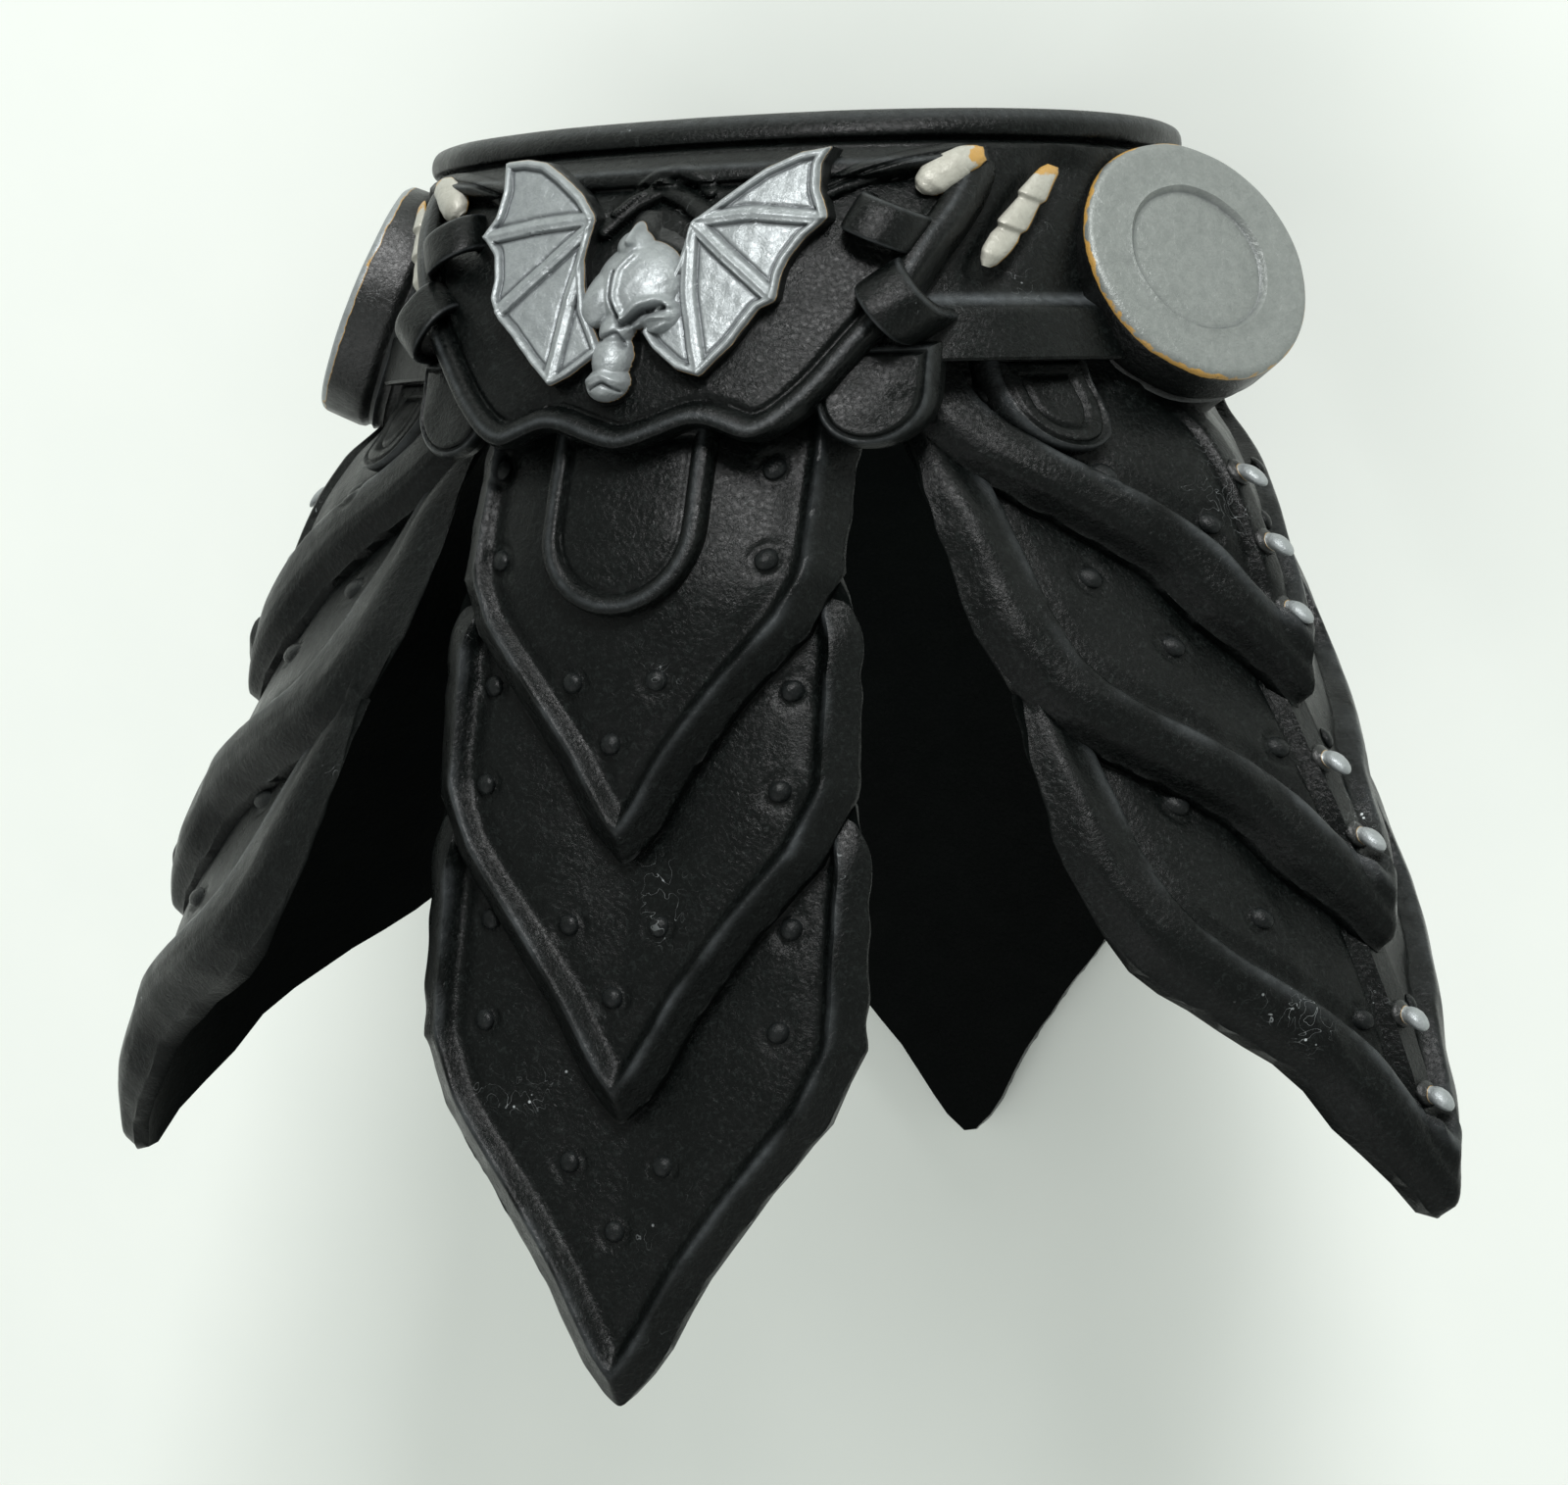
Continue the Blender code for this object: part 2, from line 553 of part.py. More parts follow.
def build_bat_body(silver, parent):
    """Head and body of the bat: one rounded form between the wings."""
    share = np.array([0.0, 0.08, 0.2, 0.36, 0.5, 0.6, 0.72, 0.88, 0.97, 1.0])
    width = np.array([0.1, 0.28, 0.85, 1.0, 0.9, 0.62, 0.5, 0.55, 0.4, 0.2]) * BODY_HALF_WIDTH
    depth = np.array([0.15, 0.35, 0.8, 1.0, 0.95, 0.75, 0.65, 0.55, 0.4, 0.2]) * BODY_HALF_DEPTH
    drop = BODY_TOP + share * BODY_LENGTH
    lift = GAP + BELT_THICKNESS + BAT_LIFT + depth
    centres = belt_point(np.full_like(drop, BELT_CENTRE), drop, lift)
    mesh = tapered_mesh("bat_body", centres, width, depth,
                        np.array((1.0, 0.0, 0.0)), np.array((0.0, 1.0, 0.0)))
    add_object("bat_body", mesh, silver, parent, math.radians(60))


def hub_cutters(side, parent):
    """Guides that trim a hub where it meets the band and the plate under it."""
    loops = [waist_loop(RIM_HALF_WIDTH + GAP, RIM_DEPTH + GAP, RIM_DEPTH + GAP, RIM_WALL)]
    for drop, half_width in ((RIM_HEIGHT, RIM_HALF_WIDTH), (BAND_TUCK_DROP, RIM_HALF_WIDTH),
                             (LEDGE_DROP - GAP, HIP_HALF_WIDTH), (LEDGE_DROP + LEDGE_RUN - GAP, LEDGE_HALF_WIDTH),
                             (PLATE_TOP, BAND_HALF_WIDTH)):
        front = float(band_front(drop)) + GAP
        loops.append(waist_loop(half_width + GAP, front, float(band_rear(drop)) + GAP, -drop))
    band = add_object("hub_band_cutter", loop_mesh("hub_band_cutter", loops, False),
                      bpy.data.materials[0], parent)
    half_width = SIDE_LAMES["upper"][0]
    across = np.linspace(-half_width, half_width, 15)
    _, corner, tip = SIDE_LAMES["upper"]
    drop = np.array([BAND_BOTTOM - GAP, 0.5 * (PLATE_TOP + corner), tip])[:, None]
    drop = np.broadcast_to(drop, (3, 15))
    across = np.broadcast_to(across, drop.shape)
    lift = GAP + TAB_THICKNESS
    outer = side_point(across, drop, lift, side)
    inner = side_point(across, drop, -0.6 * SIDE_TOP_RADIUS, side)
    plate = add_object("hub_plate_cutter", sheet_mesh("hub_plate_cutter", outer, inner),
                       bpy.data.materials[0], parent)
    for cutter in (band, plate):
        cutter.hide_render = True
        cutter.display_type = "WIRE"
    return band, plate


def build_hub(side, word, black, silver, parent):
    """A hip disc: a recessed silver face on a black cap, over a wider-set base."""
    azimuth = HUB_AZIMUTHS[side]
    outward = Vector((side * math.sin(azimuth) * math.cos(HUB_TILT),
                      -math.cos(azimuth) * math.cos(HUB_TILT), math.sin(HUB_TILT)))
    face_centre = Vector((side * HUB_SIDE, -HUB_FRONT, -HUB_DROP))
    turn = outward.to_track_quat("Z", "Y")
    cutters = hub_cutters(side, parent)
    for name, radius, height, depth, material in (
            (f"hub_cap_{word}", HUB_RADIUS, HUB_CAP_HEIGHT, 0.0, silver),
            (f"hub_base_{word}", HUB_BASE_RADIUS, HUB_BASE_HEIGHT, HUB_CAP_HEIGHT + GAP, black)):
        edit = bmesh.new()
        bmesh.ops.create_cone(edit, cap_ends=True, segments=32, radius1=radius, radius2=radius, depth=height)
        top = [face for face in edit.faces if face.normal.z > 0.9]
        rim_edges = list({edge for face in top for edge in face.edges})
        bmesh.ops.bevel(edit, geom=rim_edges, offset=HUB_EDGE_ROUND, segments=1, affect="EDGES")
        if material is silver:
            top = [face for face in edit.faces if face.normal.z > 0.99 and len(face.verts) > 4]
            inset = radius - HUB_EDGE_ROUND - DISC_RECESS_RADIUS
            bmesh.ops.inset_region(edit, faces=top, thickness=inset, depth=0.0)
            bmesh.ops.inset_region(edit, faces=top, thickness=DISC_RECESS_DEPTH, depth=-DISC_RECESS_DEPTH)
        mesh = bpy.data.meshes.new(name)
        edit.to_mesh(mesh)
        edit.free()
        hub = add_object(name, mesh, material, parent, math.radians(40))
        hub.rotation_mode = "QUATERNION"
        hub.rotation_quaternion = turn
        hub.location = face_centre - outward * (depth + height / 2.0)
        for cutter in cutters:
            trim = hub.modifiers.new("trim", "BOOLEAN")
            trim.operation = "DIFFERENCE"
            trim.object = cutter


def build_plates(black, parent):
    """Front, rear and side plates, each of three lames that overlap like shingles."""
    plates = (
        ("front", front_point, FRONT_LAMES, FRONT_POINT, False),
        ("rear", rear_point, FRONT_LAMES, FRONT_POINT, False),
        ("left", lambda a, d, h: side_point(a, d, h, -1), SIDE_LAMES, SIDE_POINT, True),
        ("right", lambda a, d, h: side_point(a, d, h, 1), SIDE_LAMES, SIDE_POINT, True),
    )
    for word, surface, lames, outline, spine in plates:
        above = None
        for level, lame in lames.items():
            name = f"{word}_lame_{level}"
            outer, inner = lame_grid(surface, lame, above, outline, spine)
            add_object(name, sheet_mesh(name, outer, inner), black, parent, math.radians(40))
            above = lame


def build_tabs(black, parent):
    """The tongue on the front plate, and the round tabs beside the belt and under the hubs."""
    outer, inner = tongue_grid(front_point, 0.0, TONGUE_HALF_WIDTH, TONGUE_TOP, TONGUE_DROP,
                               GAP, TAB_THICKNESS)
    add_object("front_tongue", sheet_mesh("front_tongue", outer, inner), black, parent)
    for side, word in ((-1, "left"), (1, "right")):
        outer, inner = tongue_grid(belt_point, side * TAB_CENTRE, TAB_HALF_WIDTH, TAB_TOP, TAB_DROP, 0.0,
                                   TAB_THICKNESS)
        add_object(f"belt_tab_{word}", sheet_mesh(f"belt_tab_{word}", outer, inner), black, parent)
        outer, inner = tongue_grid(lambda a, d, h: side_point(a, d, h, side), -HIP_TAB_CENTRE,
                                   HIP_TAB_HALF_WIDTH, HIP_TAB_TOP, HIP_TAB_DROP, GAP, TAB_THICKNESS)
        add_object(f"hip_tab_{word}", sheet_mesh(f"hip_tab_{word}", outer, inner), black, parent)


def build_spikes(side, word, silver, parent):
    """Short blunt spikes that stand on each side plate's spine."""
    number = 0
    above = None
    for level, drops in SPIKE_DROPS.items():
        lame = SIDE_LAMES[level]
        for drop in drops:
            number += 1
            tuck = 0.0
            if above is not None:
                hidden = above[2]
                visible = lame[2] - hidden - LAME_OVERLAP - BORDER_WIDTH
                tuck = LAME_TUCK * min(max(1.0 - (drop - hidden) / visible, 0.0), 1.0)
            lift = SPINE_HEIGHT - tuck + GAP
            lifts = lift + SPIKE_LENGTH * np.array([0.0, 0.45, 0.8, 1.0])
            centres = side_point(np.zeros(4), np.full(4, drop), lifts, side)
            swell = SPIKE_RADIUS * np.array([1.0, 0.95, 0.7, 0.35])
            across = np.array((side * math.cos(SIDE_AZIMUTH), math.sin(SIDE_AZIMUTH), 0.0))
            name = f"spike_{word}_{number}"
            mesh = tapered_mesh(name, centres, swell, swell * 0.85, across, np.array((0.0, 0.0, 1.0)))
            add_object(name, mesh, silver, parent, math.radians(60))
        above = lame


def lay_down(frame):
    """Lay the fauld on its back, centred over the origin with its lowest point at zero."""
    frame.rotation_euler = (-(math.pi / 2.0 + REST_PITCH), 0.0, 0.0)
    bpy.context.view_layer.update()
    depsgraph = bpy.context.evaluated_depsgraph_get()
    corners = []
    for item in bpy.context.scene.objects:
        if item.type == "EMPTY" or item.hide_render:
            continue
        shape = item.evaluated_get(depsgraph)
        mesh = shape.to_mesh()
        corners += [shape.matrix_world @ vertex.co for vertex in mesh.vertices]
        shape.to_mesh_clear()
    corners = np.array(corners)
    low = corners.min(axis=0)
    high = corners.max(axis=0)
    frame.location = (-(low[0] + high[0]) / 2.0, -(low[1] + high[1]) / 2.0, -low[2])


def main():
    clear_scene()
    black = make_material("black_soft_vinyl", (0.012, 0.013, 0.015), 0.42, 0.0)
    silver = make_material("silver_paint", (0.42, 0.43, 0.45), 0.4, 0.6)
    bone = make_material("bone_silver_paint", (0.55, 0.54, 0.5), 0.45, 0.3)
    frame = bpy.data.objects.new("resting_frame", None)
    bpy.context.scene.collection.objects.link(frame)
    build_waist(black, frame)
    build_belt(black, frame)
    build_bat_body(silver, frame)
    foot = GAP + BELT_THICKNESS + GAP
    for side, word in ((-1, "left"), (1, "right")):
        build_keeper(f"keeper_{word}_upper", side, UPPER_KEEPER, (foot, foot), black, frame)
        build_keeper(f"keeper_{word}_lower", side, LOWER_KEEPER, (foot, GAP), black, frame)
        build_claws(side, word, bone, frame)
        build_wing(side, word, silver, frame)
        build_hub(side, word, black, silver, frame)
        build_spikes(side, word, silver, frame)
    build_plates(black, frame)
    build_tabs(black, frame)
    lay_down(frame)


main()
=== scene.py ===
# %% [markdown]
# # A moulded fauld for an action figure
# This is the waist and thigh armour of an action figure: one moulding in soft black
# vinyl, with a bat, claws, spikes and hip discs picked out in silver paint. The CAD
# model gives its solids. This script gives each of them its modelled surface and its
# finish, and lights and frames them as in the photograph.

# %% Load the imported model
import math

import bmesh
import bpy
import numpy as np
from mathutils import Matrix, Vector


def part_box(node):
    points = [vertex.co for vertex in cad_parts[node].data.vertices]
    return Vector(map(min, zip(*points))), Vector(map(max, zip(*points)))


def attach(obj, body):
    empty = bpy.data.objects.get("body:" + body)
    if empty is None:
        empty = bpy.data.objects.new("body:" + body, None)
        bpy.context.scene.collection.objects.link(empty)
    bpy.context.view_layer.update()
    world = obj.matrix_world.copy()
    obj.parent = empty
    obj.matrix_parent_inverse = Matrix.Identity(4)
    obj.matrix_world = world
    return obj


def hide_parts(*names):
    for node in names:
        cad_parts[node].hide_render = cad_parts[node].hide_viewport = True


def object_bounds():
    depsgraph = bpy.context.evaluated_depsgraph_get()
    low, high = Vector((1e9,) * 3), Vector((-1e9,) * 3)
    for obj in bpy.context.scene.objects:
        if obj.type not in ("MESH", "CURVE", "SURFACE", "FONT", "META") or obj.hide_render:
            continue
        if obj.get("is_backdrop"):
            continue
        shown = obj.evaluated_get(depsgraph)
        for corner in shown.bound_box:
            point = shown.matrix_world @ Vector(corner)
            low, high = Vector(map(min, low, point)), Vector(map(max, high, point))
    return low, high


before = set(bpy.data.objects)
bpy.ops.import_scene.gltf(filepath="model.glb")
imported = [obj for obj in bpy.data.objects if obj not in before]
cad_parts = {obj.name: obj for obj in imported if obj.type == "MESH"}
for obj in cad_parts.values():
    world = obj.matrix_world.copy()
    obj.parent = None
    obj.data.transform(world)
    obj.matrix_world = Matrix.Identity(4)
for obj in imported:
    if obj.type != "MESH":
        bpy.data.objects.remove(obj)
cad_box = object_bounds()
print("CAD nodes:", len(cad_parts))

# %% [markdown]
# ## Two frames of reference
# A fauld is easiest to think of as it is worn: the waist level at the top, the front
# towards -Y, each plate hanging down. So every shape below is worked out in the worn
# frame, in millimetres, with *drop* measured down from the rim. One turn and one shift
# then lay it on its back, where the CAD model rests. The shift is read from the packed
# rim, which looks the same from both ends, so its middle is easy to find.

# %% Sizes of the waist, and the step from worn to lying
MM = 0.001
RIM_HALF_WIDTH = 17.1
RIM_DEPTH = 14.4
RIM_HEIGHT = 1.2
RIM_WALL = 1.9
PLATE_LENGTH = 51.3
REAR_TIP_DEPTH = 25.0
REST_PITCH = math.atan2(REAR_TIP_DEPTH - RIM_DEPTH, PLATE_LENGTH)
REST_TURN = np.array([
    [1.0, 0.0, 0.0],
    [0.0, -math.sin(REST_PITCH), math.cos(REST_PITCH)],
    [0.0, -math.cos(REST_PITCH), -math.sin(REST_PITCH)],
])
rim_low, rim_high = (np.array(corner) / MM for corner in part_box("waist_rim"))
REST_SHIFT = 0.5 * (rim_low + rim_high) - REST_TURN @ (0.0, 0.0, -0.5 * RIM_HEIGHT)


def lay_down(points):
    """Worn points in mm become lying points in metres: one turn about X, then one shift."""
    return (points @ REST_TURN.T + REST_SHIFT) * MM


print("the worn origin lies at", np.round(REST_SHIFT, 3), "mm")

# %% [markdown]
# ## Helpers for surfaces
# Every piece is a grid of points: a function of two parameters, worked out for the
# whole grid at once. Five small functions turn grids into faces, and one puts the
# result into Blender. All pieces are closed shells, so Blender can be asked to turn
# their faces outwards, which saves keeping track of mirrored sides.


# %% Faces of a grid, a fan, a capped tube, and a strip between two unequal rows
def grid_quads(rows, columns, wrap_rows=False, wrap_columns=False):
    """Corner numbers of every quad between neighbours of a grid stored row by row."""
    row = np.arange(rows if wrap_rows else rows - 1)[:, None]
    column = np.arange(columns if wrap_columns else columns - 1)[None, :]
    after_row = (row + 1) % rows
    after_column = (column + 1) % columns
    corners = [row * columns + column, row * columns + after_column,
               after_row * columns + after_column, after_row * columns + column]
    quads = [np.broadcast_to(corner, corners[0].shape) for corner in corners]
    return np.stack(quads, axis=-1).reshape(-1, 4)


def fan_triangles(ring, pole):
    """Triangles from every edge of a closed ring to one pole."""
    ring = np.asarray(ring)
    return np.stack([ring, np.roll(ring, -1), np.full(len(ring), pole)], axis=1)


def capped_faces(rows, columns):
    """Faces of a grid that wraps round, with a fan at each end to the two poles stored after it."""
    ring = np.arange(columns)
    return [grid_quads(rows, columns, False, True), fan_triangles(ring, rows * columns),
            fan_triangles(ring + (rows - 1) * columns, rows * columns + 1)]


def capped_tube(loops):
    """Points and faces of a tube of rings, closed by the middles of its first and last ring."""
    poles = np.stack([loops[0].mean(axis=0), loops[-1].mean(axis=0)])
    return np.concatenate([loops.reshape(-1, 3), poles]), capped_faces(*loops.shape[:2])


def strip_triangles(long_row, short_row):
    """Triangles between two rows of unequal count: long edges reach to the nearest short point."""
    near = np.round(np.linspace(0, len(short_row) - 1, len(long_row))).astype(int)
    across = np.stack([long_row[:-1], long_row[1:], short_row[near[1:]]], axis=1)
    moved = near[1:] != near[:-1]
    between = np.stack([long_row[:-1], short_row[near[1:]], short_row[near[:-1]]], axis=1)[moved]
    return np.concatenate([across, between])


# %% Put a piece into the scene
MERGE_MM = 0.0005
SHARP_DEGREES = 42


def put_piece(name, points, faces, material, nodes, values=None, sharp=SHARP_DEGREES):
    """Make a mesh of worn points and faces, merge doubles, turn it outwards, and replace its nodes."""
    mesh = bpy.data.meshes.new(name)
    corners = np.concatenate([block.ravel() for block in faces])
    sizes = np.concatenate([np.full(len(block), block.shape[1]) for block in faces])
    mesh.vertices.add(len(points))
    mesh.vertices.foreach_set("co", lay_down(points).astype(np.float32).ravel())
    mesh.loops.add(len(corners))
    mesh.loops.foreach_set("vertex_index", corners.astype(np.int32))
    mesh.polygons.add(len(sizes))
    starts = np.concatenate([[0], np.cumsum(sizes)[:-1]])
    mesh.polygons.foreach_set("loop_start", starts.astype(np.int32))
    mesh.update(calc_edges=True)
    for key, value in (values or {}).items():
        layer = mesh.attributes.new(key, "FLOAT", "POINT")
        layer.data.foreach_set("value", np.asarray(value, np.float32).ravel())
    edit = bmesh.new()
    edit.from_mesh(mesh)
    bmesh.ops.remove_doubles(edit, verts=edit.verts, dist=MERGE_MM * MM)
    bmesh.ops.recalc_face_normals(edit, faces=edit.faces)
    edit.to_mesh(mesh)
    edit.free()
    mesh.shade_smooth()
    mesh.set_sharp_from_angle(angle=math.radians(sharp))
    mesh.materials.append(material)
    piece = bpy.data.objects.new(name, mesh)
    bpy.context.scene.collection.objects.link(piece)
    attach(piece, "root")
    if nodes:
        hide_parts(*nodes)
    triangles = int(np.sum(sizes - 2))
    print(f"{name}: {len(mesh.vertices)} points, {triangles} triangles")
    return piece


# %% [markdown]
# ## Smooth tables and unevenness
# Outlines and flares are short tables of shares. Read straight, a table has corners,
# so it is read at several places round the one wanted and averaged, which rounds them.
# A soft moulding is never quite true either: a sum of slow waves gives each surface
# and edge a little of that. Creases and rubbed crests all follow one bell curve.


# %% Read tables softly, and make unevenness
TABLE_READINGS = 9
READING_FALL = 0.9
WAVES = 7
WAVE_GAIN = 1.6


def soft_table(table, share, blur):
    """Mean of a table's value at nine places within the blur, weighted to a triangle."""
    columns = np.array(table)
    steps = np.linspace(-1.0, 1.0, TABLE_READINGS)
    weights = 1.0 - np.abs(steps) * READING_FALL
    total = 0.0
    for step, weight in zip(steps, weights):
        total = total + weight * np.interp(share + step * blur, columns[:, 0], columns[:, 1])
    return total / weights.sum()


def smooth_step(value, low, high):
    """Rise from 0 at low to 1 at high, level at both ends."""
    share = np.clip((value - low) / (high - low), 0.0, 1.0)
    return share * share * (3.0 - 2.0 * share)


def bell(value, width, middle=0.0):
    """A bell curve: e to the power of minus the squared distance from its middle, in widths."""
    return np.exp(-((value - middle) / width) ** 2)


def ripple(first, second, size, seed):
    """Mean of seven sine waves in seeded directions, each roughly size mm long: from -1 to 1."""
    waves = np.random.default_rng(seed)
    total = 0.0
    for _ in range(WAVES):
        angle, phase = waves.uniform(0.0, 2.0 * math.pi, 2)
        pace = 2.0 * math.pi / (size * waves.uniform(0.7, 1.5))
        total = total + np.sin(pace * (first * math.cos(angle) + second * math.sin(angle)) + phase)
    return total / WAVES * WAVE_GAIN


def distance_to_line(across, drop, line):
    """Shortest distance from each point to a line of points, all in the unrolled surface."""
    place = np.stack([across.ravel(), drop.ravel()], axis=1)
    start = np.array(line[:-1], float)
    step = np.array(line[1:], float) - start
    length = np.maximum((step ** 2).sum(axis=1), 1e-9)
    nearest = np.full(len(place), 1e9)
    for begin, run, size in zip(start, step, length):
        share = np.clip(((place - begin) @ run) / size, 0.0, 1.0)
        gap = place - begin - share[:, None] * run
        nearest = np.minimum(nearest, (gap ** 2).sum(axis=1))
    return np.sqrt(nearest).reshape(across.shape)


# %% [markdown]
# ## Camera, floor and light
# The camera was fitted to the rim, the discs and the tips of the plates in the
# photograph, in the worn frame: it stands almost level in front of the waist, so once
# the fauld lies down it looks from above. The photograph was taken over white paper
# under soft daylight from beyond the waist, a little to the right, so a soft lamp
# stands there, with a wide weak one above and a pale sky all round.

# %% Camera
PHOTO_WIDTH = 1600.0
PIXEL_MM = 0.045
CAMERA_AZIMUTH = math.radians(19.84)
CAMERA_ELEVATION = math.radians(5.52)
CAMERA_ROLL = math.radians(-1.64)
FOCAL_PIXELS = 3159.9
ORIGIN_RIGHT = 21.7
ORIGIN_UP = 609.3


def camera_axes():
    """Right, up and back of the photo camera, worn: azimuth, elevation, then roll about back."""
    azimuth, elevation, roll = CAMERA_AZIMUTH, CAMERA_ELEVATION, CAMERA_ROLL
    back = np.array([math.sin(azimuth) * math.cos(elevation),
                     -math.cos(azimuth) * math.cos(elevation), math.sin(elevation)])
    level = np.array([math.cos(azimuth), math.sin(azimuth), 0.0])
    upright = np.cross(back, level)
    right = math.cos(roll) * level + math.sin(roll) * upright
    up = math.cos(roll) * upright - math.sin(roll) * level
    return right, up, back


right_axis, up_axis, back_axis = camera_axes()
camera_data = bpy.data.cameras.new("photo_camera")
camera_data.lens = FOCAL_PIXELS / PHOTO_WIDTH * camera_data.sensor_width
camera_data.clip_start = 0.005
camera_data.clip_end = 10.0
camera = bpy.data.objects.new("photo_camera", camera_data)
bpy.context.scene.collection.objects.link(camera)
bpy.context.scene.camera = camera
stand = (FOCAL_PIXELS * back_axis - ORIGIN_RIGHT * right_axis - ORIGIN_UP * up_axis) * PIXEL_MM
turned = REST_TURN @ np.stack([right_axis, up_axis, back_axis], axis=1)
camera.matrix_world = Matrix.Translation(lay_down(stand)) @ Matrix(turned.tolist()).to_4x4()
print("camera looks down at", round(math.degrees(math.asin(turned[2, 2])), 1), "degrees")


# %% Colours and nodes
# Places of the colour sockets in the Mix node, whose other sockets bear the same names.
MIX_COLOUR_LOW = 6
MIX_COLOUR_HIGH = 7
MIX_COLOUR_RESULT = 2


def linear(code):
    """An sRGB hex colour as the linear colour that Blender mixes in, by the sRGB standard's curve."""
    channels = [int(code[place:place + 2], 16) / 255.0 for place in (1, 3, 5)]
    mixed_in = [c / 12.92 if c <= 0.04045 else ((c + 0.055) / 1.055) ** 2.4 for c in channels]
    return (*mixed_in, 1.0)


def add_node(tree, kind, inputs=None, **settings):
    """Add a node, set its properties, and give each named input a value or a link."""
    item = tree.nodes.new(kind)
    for key, value in settings.items():
        setattr(item, key, value)
    for key, value in (inputs or {}).items():
        if isinstance(value, bpy.types.NodeSocket):
            tree.links.new(value, item.inputs[key])
        else:
            item.inputs[key].default_value = value
    return item


def new_material(name):
    """A material with an empty Principled shader, its node tree and its shader."""
    material = bpy.data.materials.new(name)
    material.use_nodes = True
    tree = material.node_tree
    return material, tree, tree.nodes["Principled BSDF"]


def per_metre(size_mm):
    """Scale of a pattern whose features are that many mm wide, on coordinates in metres."""
    return 1.0 / (size_mm * MM)


def object_place(tree):
    """Object coordinates, which are metres in the shared frame here."""
    return add_node(tree, "ShaderNodeTexCoord").outputs["Object"]


def attribute(tree, name):
    """A value that the piece gives at each of its points, or 0 where it gives none."""
    return add_node(tree, "ShaderNodeAttribute", attribute_name=name).outputs["Fac"]


def noise(tree, place, size_mm, detail, **more):
    """Cloudy noise from 0 to 1 whose features are that many mm wide."""
    inputs = {"Vector": place, "Scale": per_metre(size_mm), "Detail": detail, **more}
    return add_node(tree, "ShaderNodeTexNoise", inputs).outputs["Fac"]


def reckon(tree, operation, *terms):
    """One operation of the Math node on numbers or links."""
    return add_node(tree, "ShaderNodeMath", dict(enumerate(terms)), operation=operation).outputs[0]


def ranged(tree, value, low, high, low_result=0.0, high_result=1.0):
    """A value between low and high, mapped between two results and held there beyond them."""
    return add_node(tree, "ShaderNodeMapRange", {
        "Value": value, "From Min": low, "From Max": high,
        "To Min": low_result, "To Max": high_result}).outputs[0]


def mixed(tree, factor, low, high):
    """The low colour where the factor is 0 and the high one where it is 1; each a code or a link."""
    low, high = (linear(end) if isinstance(end, str) else end for end in (low, high))
    inputs = {"Factor": factor, MIX_COLOUR_LOW: low, MIX_COLOUR_HIGH: high}
    return add_node(tree, "ShaderNodeMix", inputs, data_type="RGBA").outputs[MIX_COLOUR_RESULT]


# %% Floor of pale paper
PAPER_HALF_WIDTH = 1.2
PAPER_FIBRE_MM = 9.0
paper, paper_tree, paper_shader = new_material("matt_white_paper")
paper_fibre = noise(paper_tree, object_place(paper_tree), PAPER_FIBRE_MM, 3.0)
paper_tint = mixed(paper_tree, paper_fibre, "#e9eee9", "#eef2ed")
paper_tree.links.new(paper_tint, paper_shader.inputs["Base Color"])
paper_shader.inputs["Roughness"].default_value = 0.85
floor_mesh = bpy.data.meshes.new("paper_floor")
paper_corners = [(x * PAPER_HALF_WIDTH, y * PAPER_HALF_WIDTH, 0.0)
                 for x, y in ((-1, -1), (1, -1), (1, 1), (-1, 1))]
floor_mesh.from_pydata(paper_corners, [], [(0, 1, 2, 3)])
floor_mesh.materials.append(paper)
floor = bpy.data.objects.new("paper_floor", floor_mesh)
bpy.context.scene.collection.objects.link(floor)
floor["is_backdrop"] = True
print("paper:", 2.0 * PAPER_HALF_WIDTH, "m wide")

# %% Daylight from beyond the waist, a weaker fill above, and a pale sky
SKY_STRENGTH = 0.6
# Place and size in metres, and power in watts.
WINDOW = {"place": (0.20, 0.60, 0.34), "size": 0.22, "power": 5.2}
CEILING = {"place": (-0.10, -0.25, 0.60), "size": 0.50, "power": 0.8}
scene = bpy.context.scene
scene.view_settings.view_transform = "Standard"
world = bpy.data.worlds.new("pale_room")
scene.world = world
world.use_nodes = True
sky = world.node_tree.nodes["Background"]
sky.inputs["Color"].default_value = linear("#f0f5f0")
sky.inputs["Strength"].default_value = SKY_STRENGTH


def add_lamp(name, place, size, power):
    """A square soft light in metres that faces the origin."""
    data = bpy.data.lights.new(name, "AREA")
    data.shape = "SQUARE"
    data.size = size
    data.energy = power
    lamp = bpy.data.objects.new(name, data)
    bpy.context.scene.collection.objects.link(lamp)
    lamp.location = place
    lamp.rotation_mode = "QUATERNION"
    lamp.rotation_quaternion = (-lamp.location).to_track_quat("-Z", "Y")
    return lamp


window = add_lamp("window", **WINDOW)
ceiling = add_lamp("ceiling", **CEILING)
print("lamps:", window.name, window.data.energy, "W,", ceiling.name, ceiling.data.energy, "W")

# %% [markdown]
# ## Black soft vinyl
# The body is soft PVC, coloured black all through and cast in a satin mould. It is
# nearly black, but its skin gives a broad grey sheen. Its fine grain of short hair-like
# strokes is painted in pale, as painted sheen, and its crests are painted paler: partly
# as worn edges, partly as a painted highlight. White lint and dust cling to it in
# patches. The pieces give an attribute for wear and painted light that rises on their
# crests, so the pale crests follow the shapes. Another, *inside*, is 1 on the backs of
# the lames, which lie in deep shade: there strokes, dust and most of the sheen are left
# off, as painted shade.

# %% Black vinyl
GRAIN_DEPTH = 0.04
SKIN_DEPTH = 0.08
VINYL_IOR = 1.53


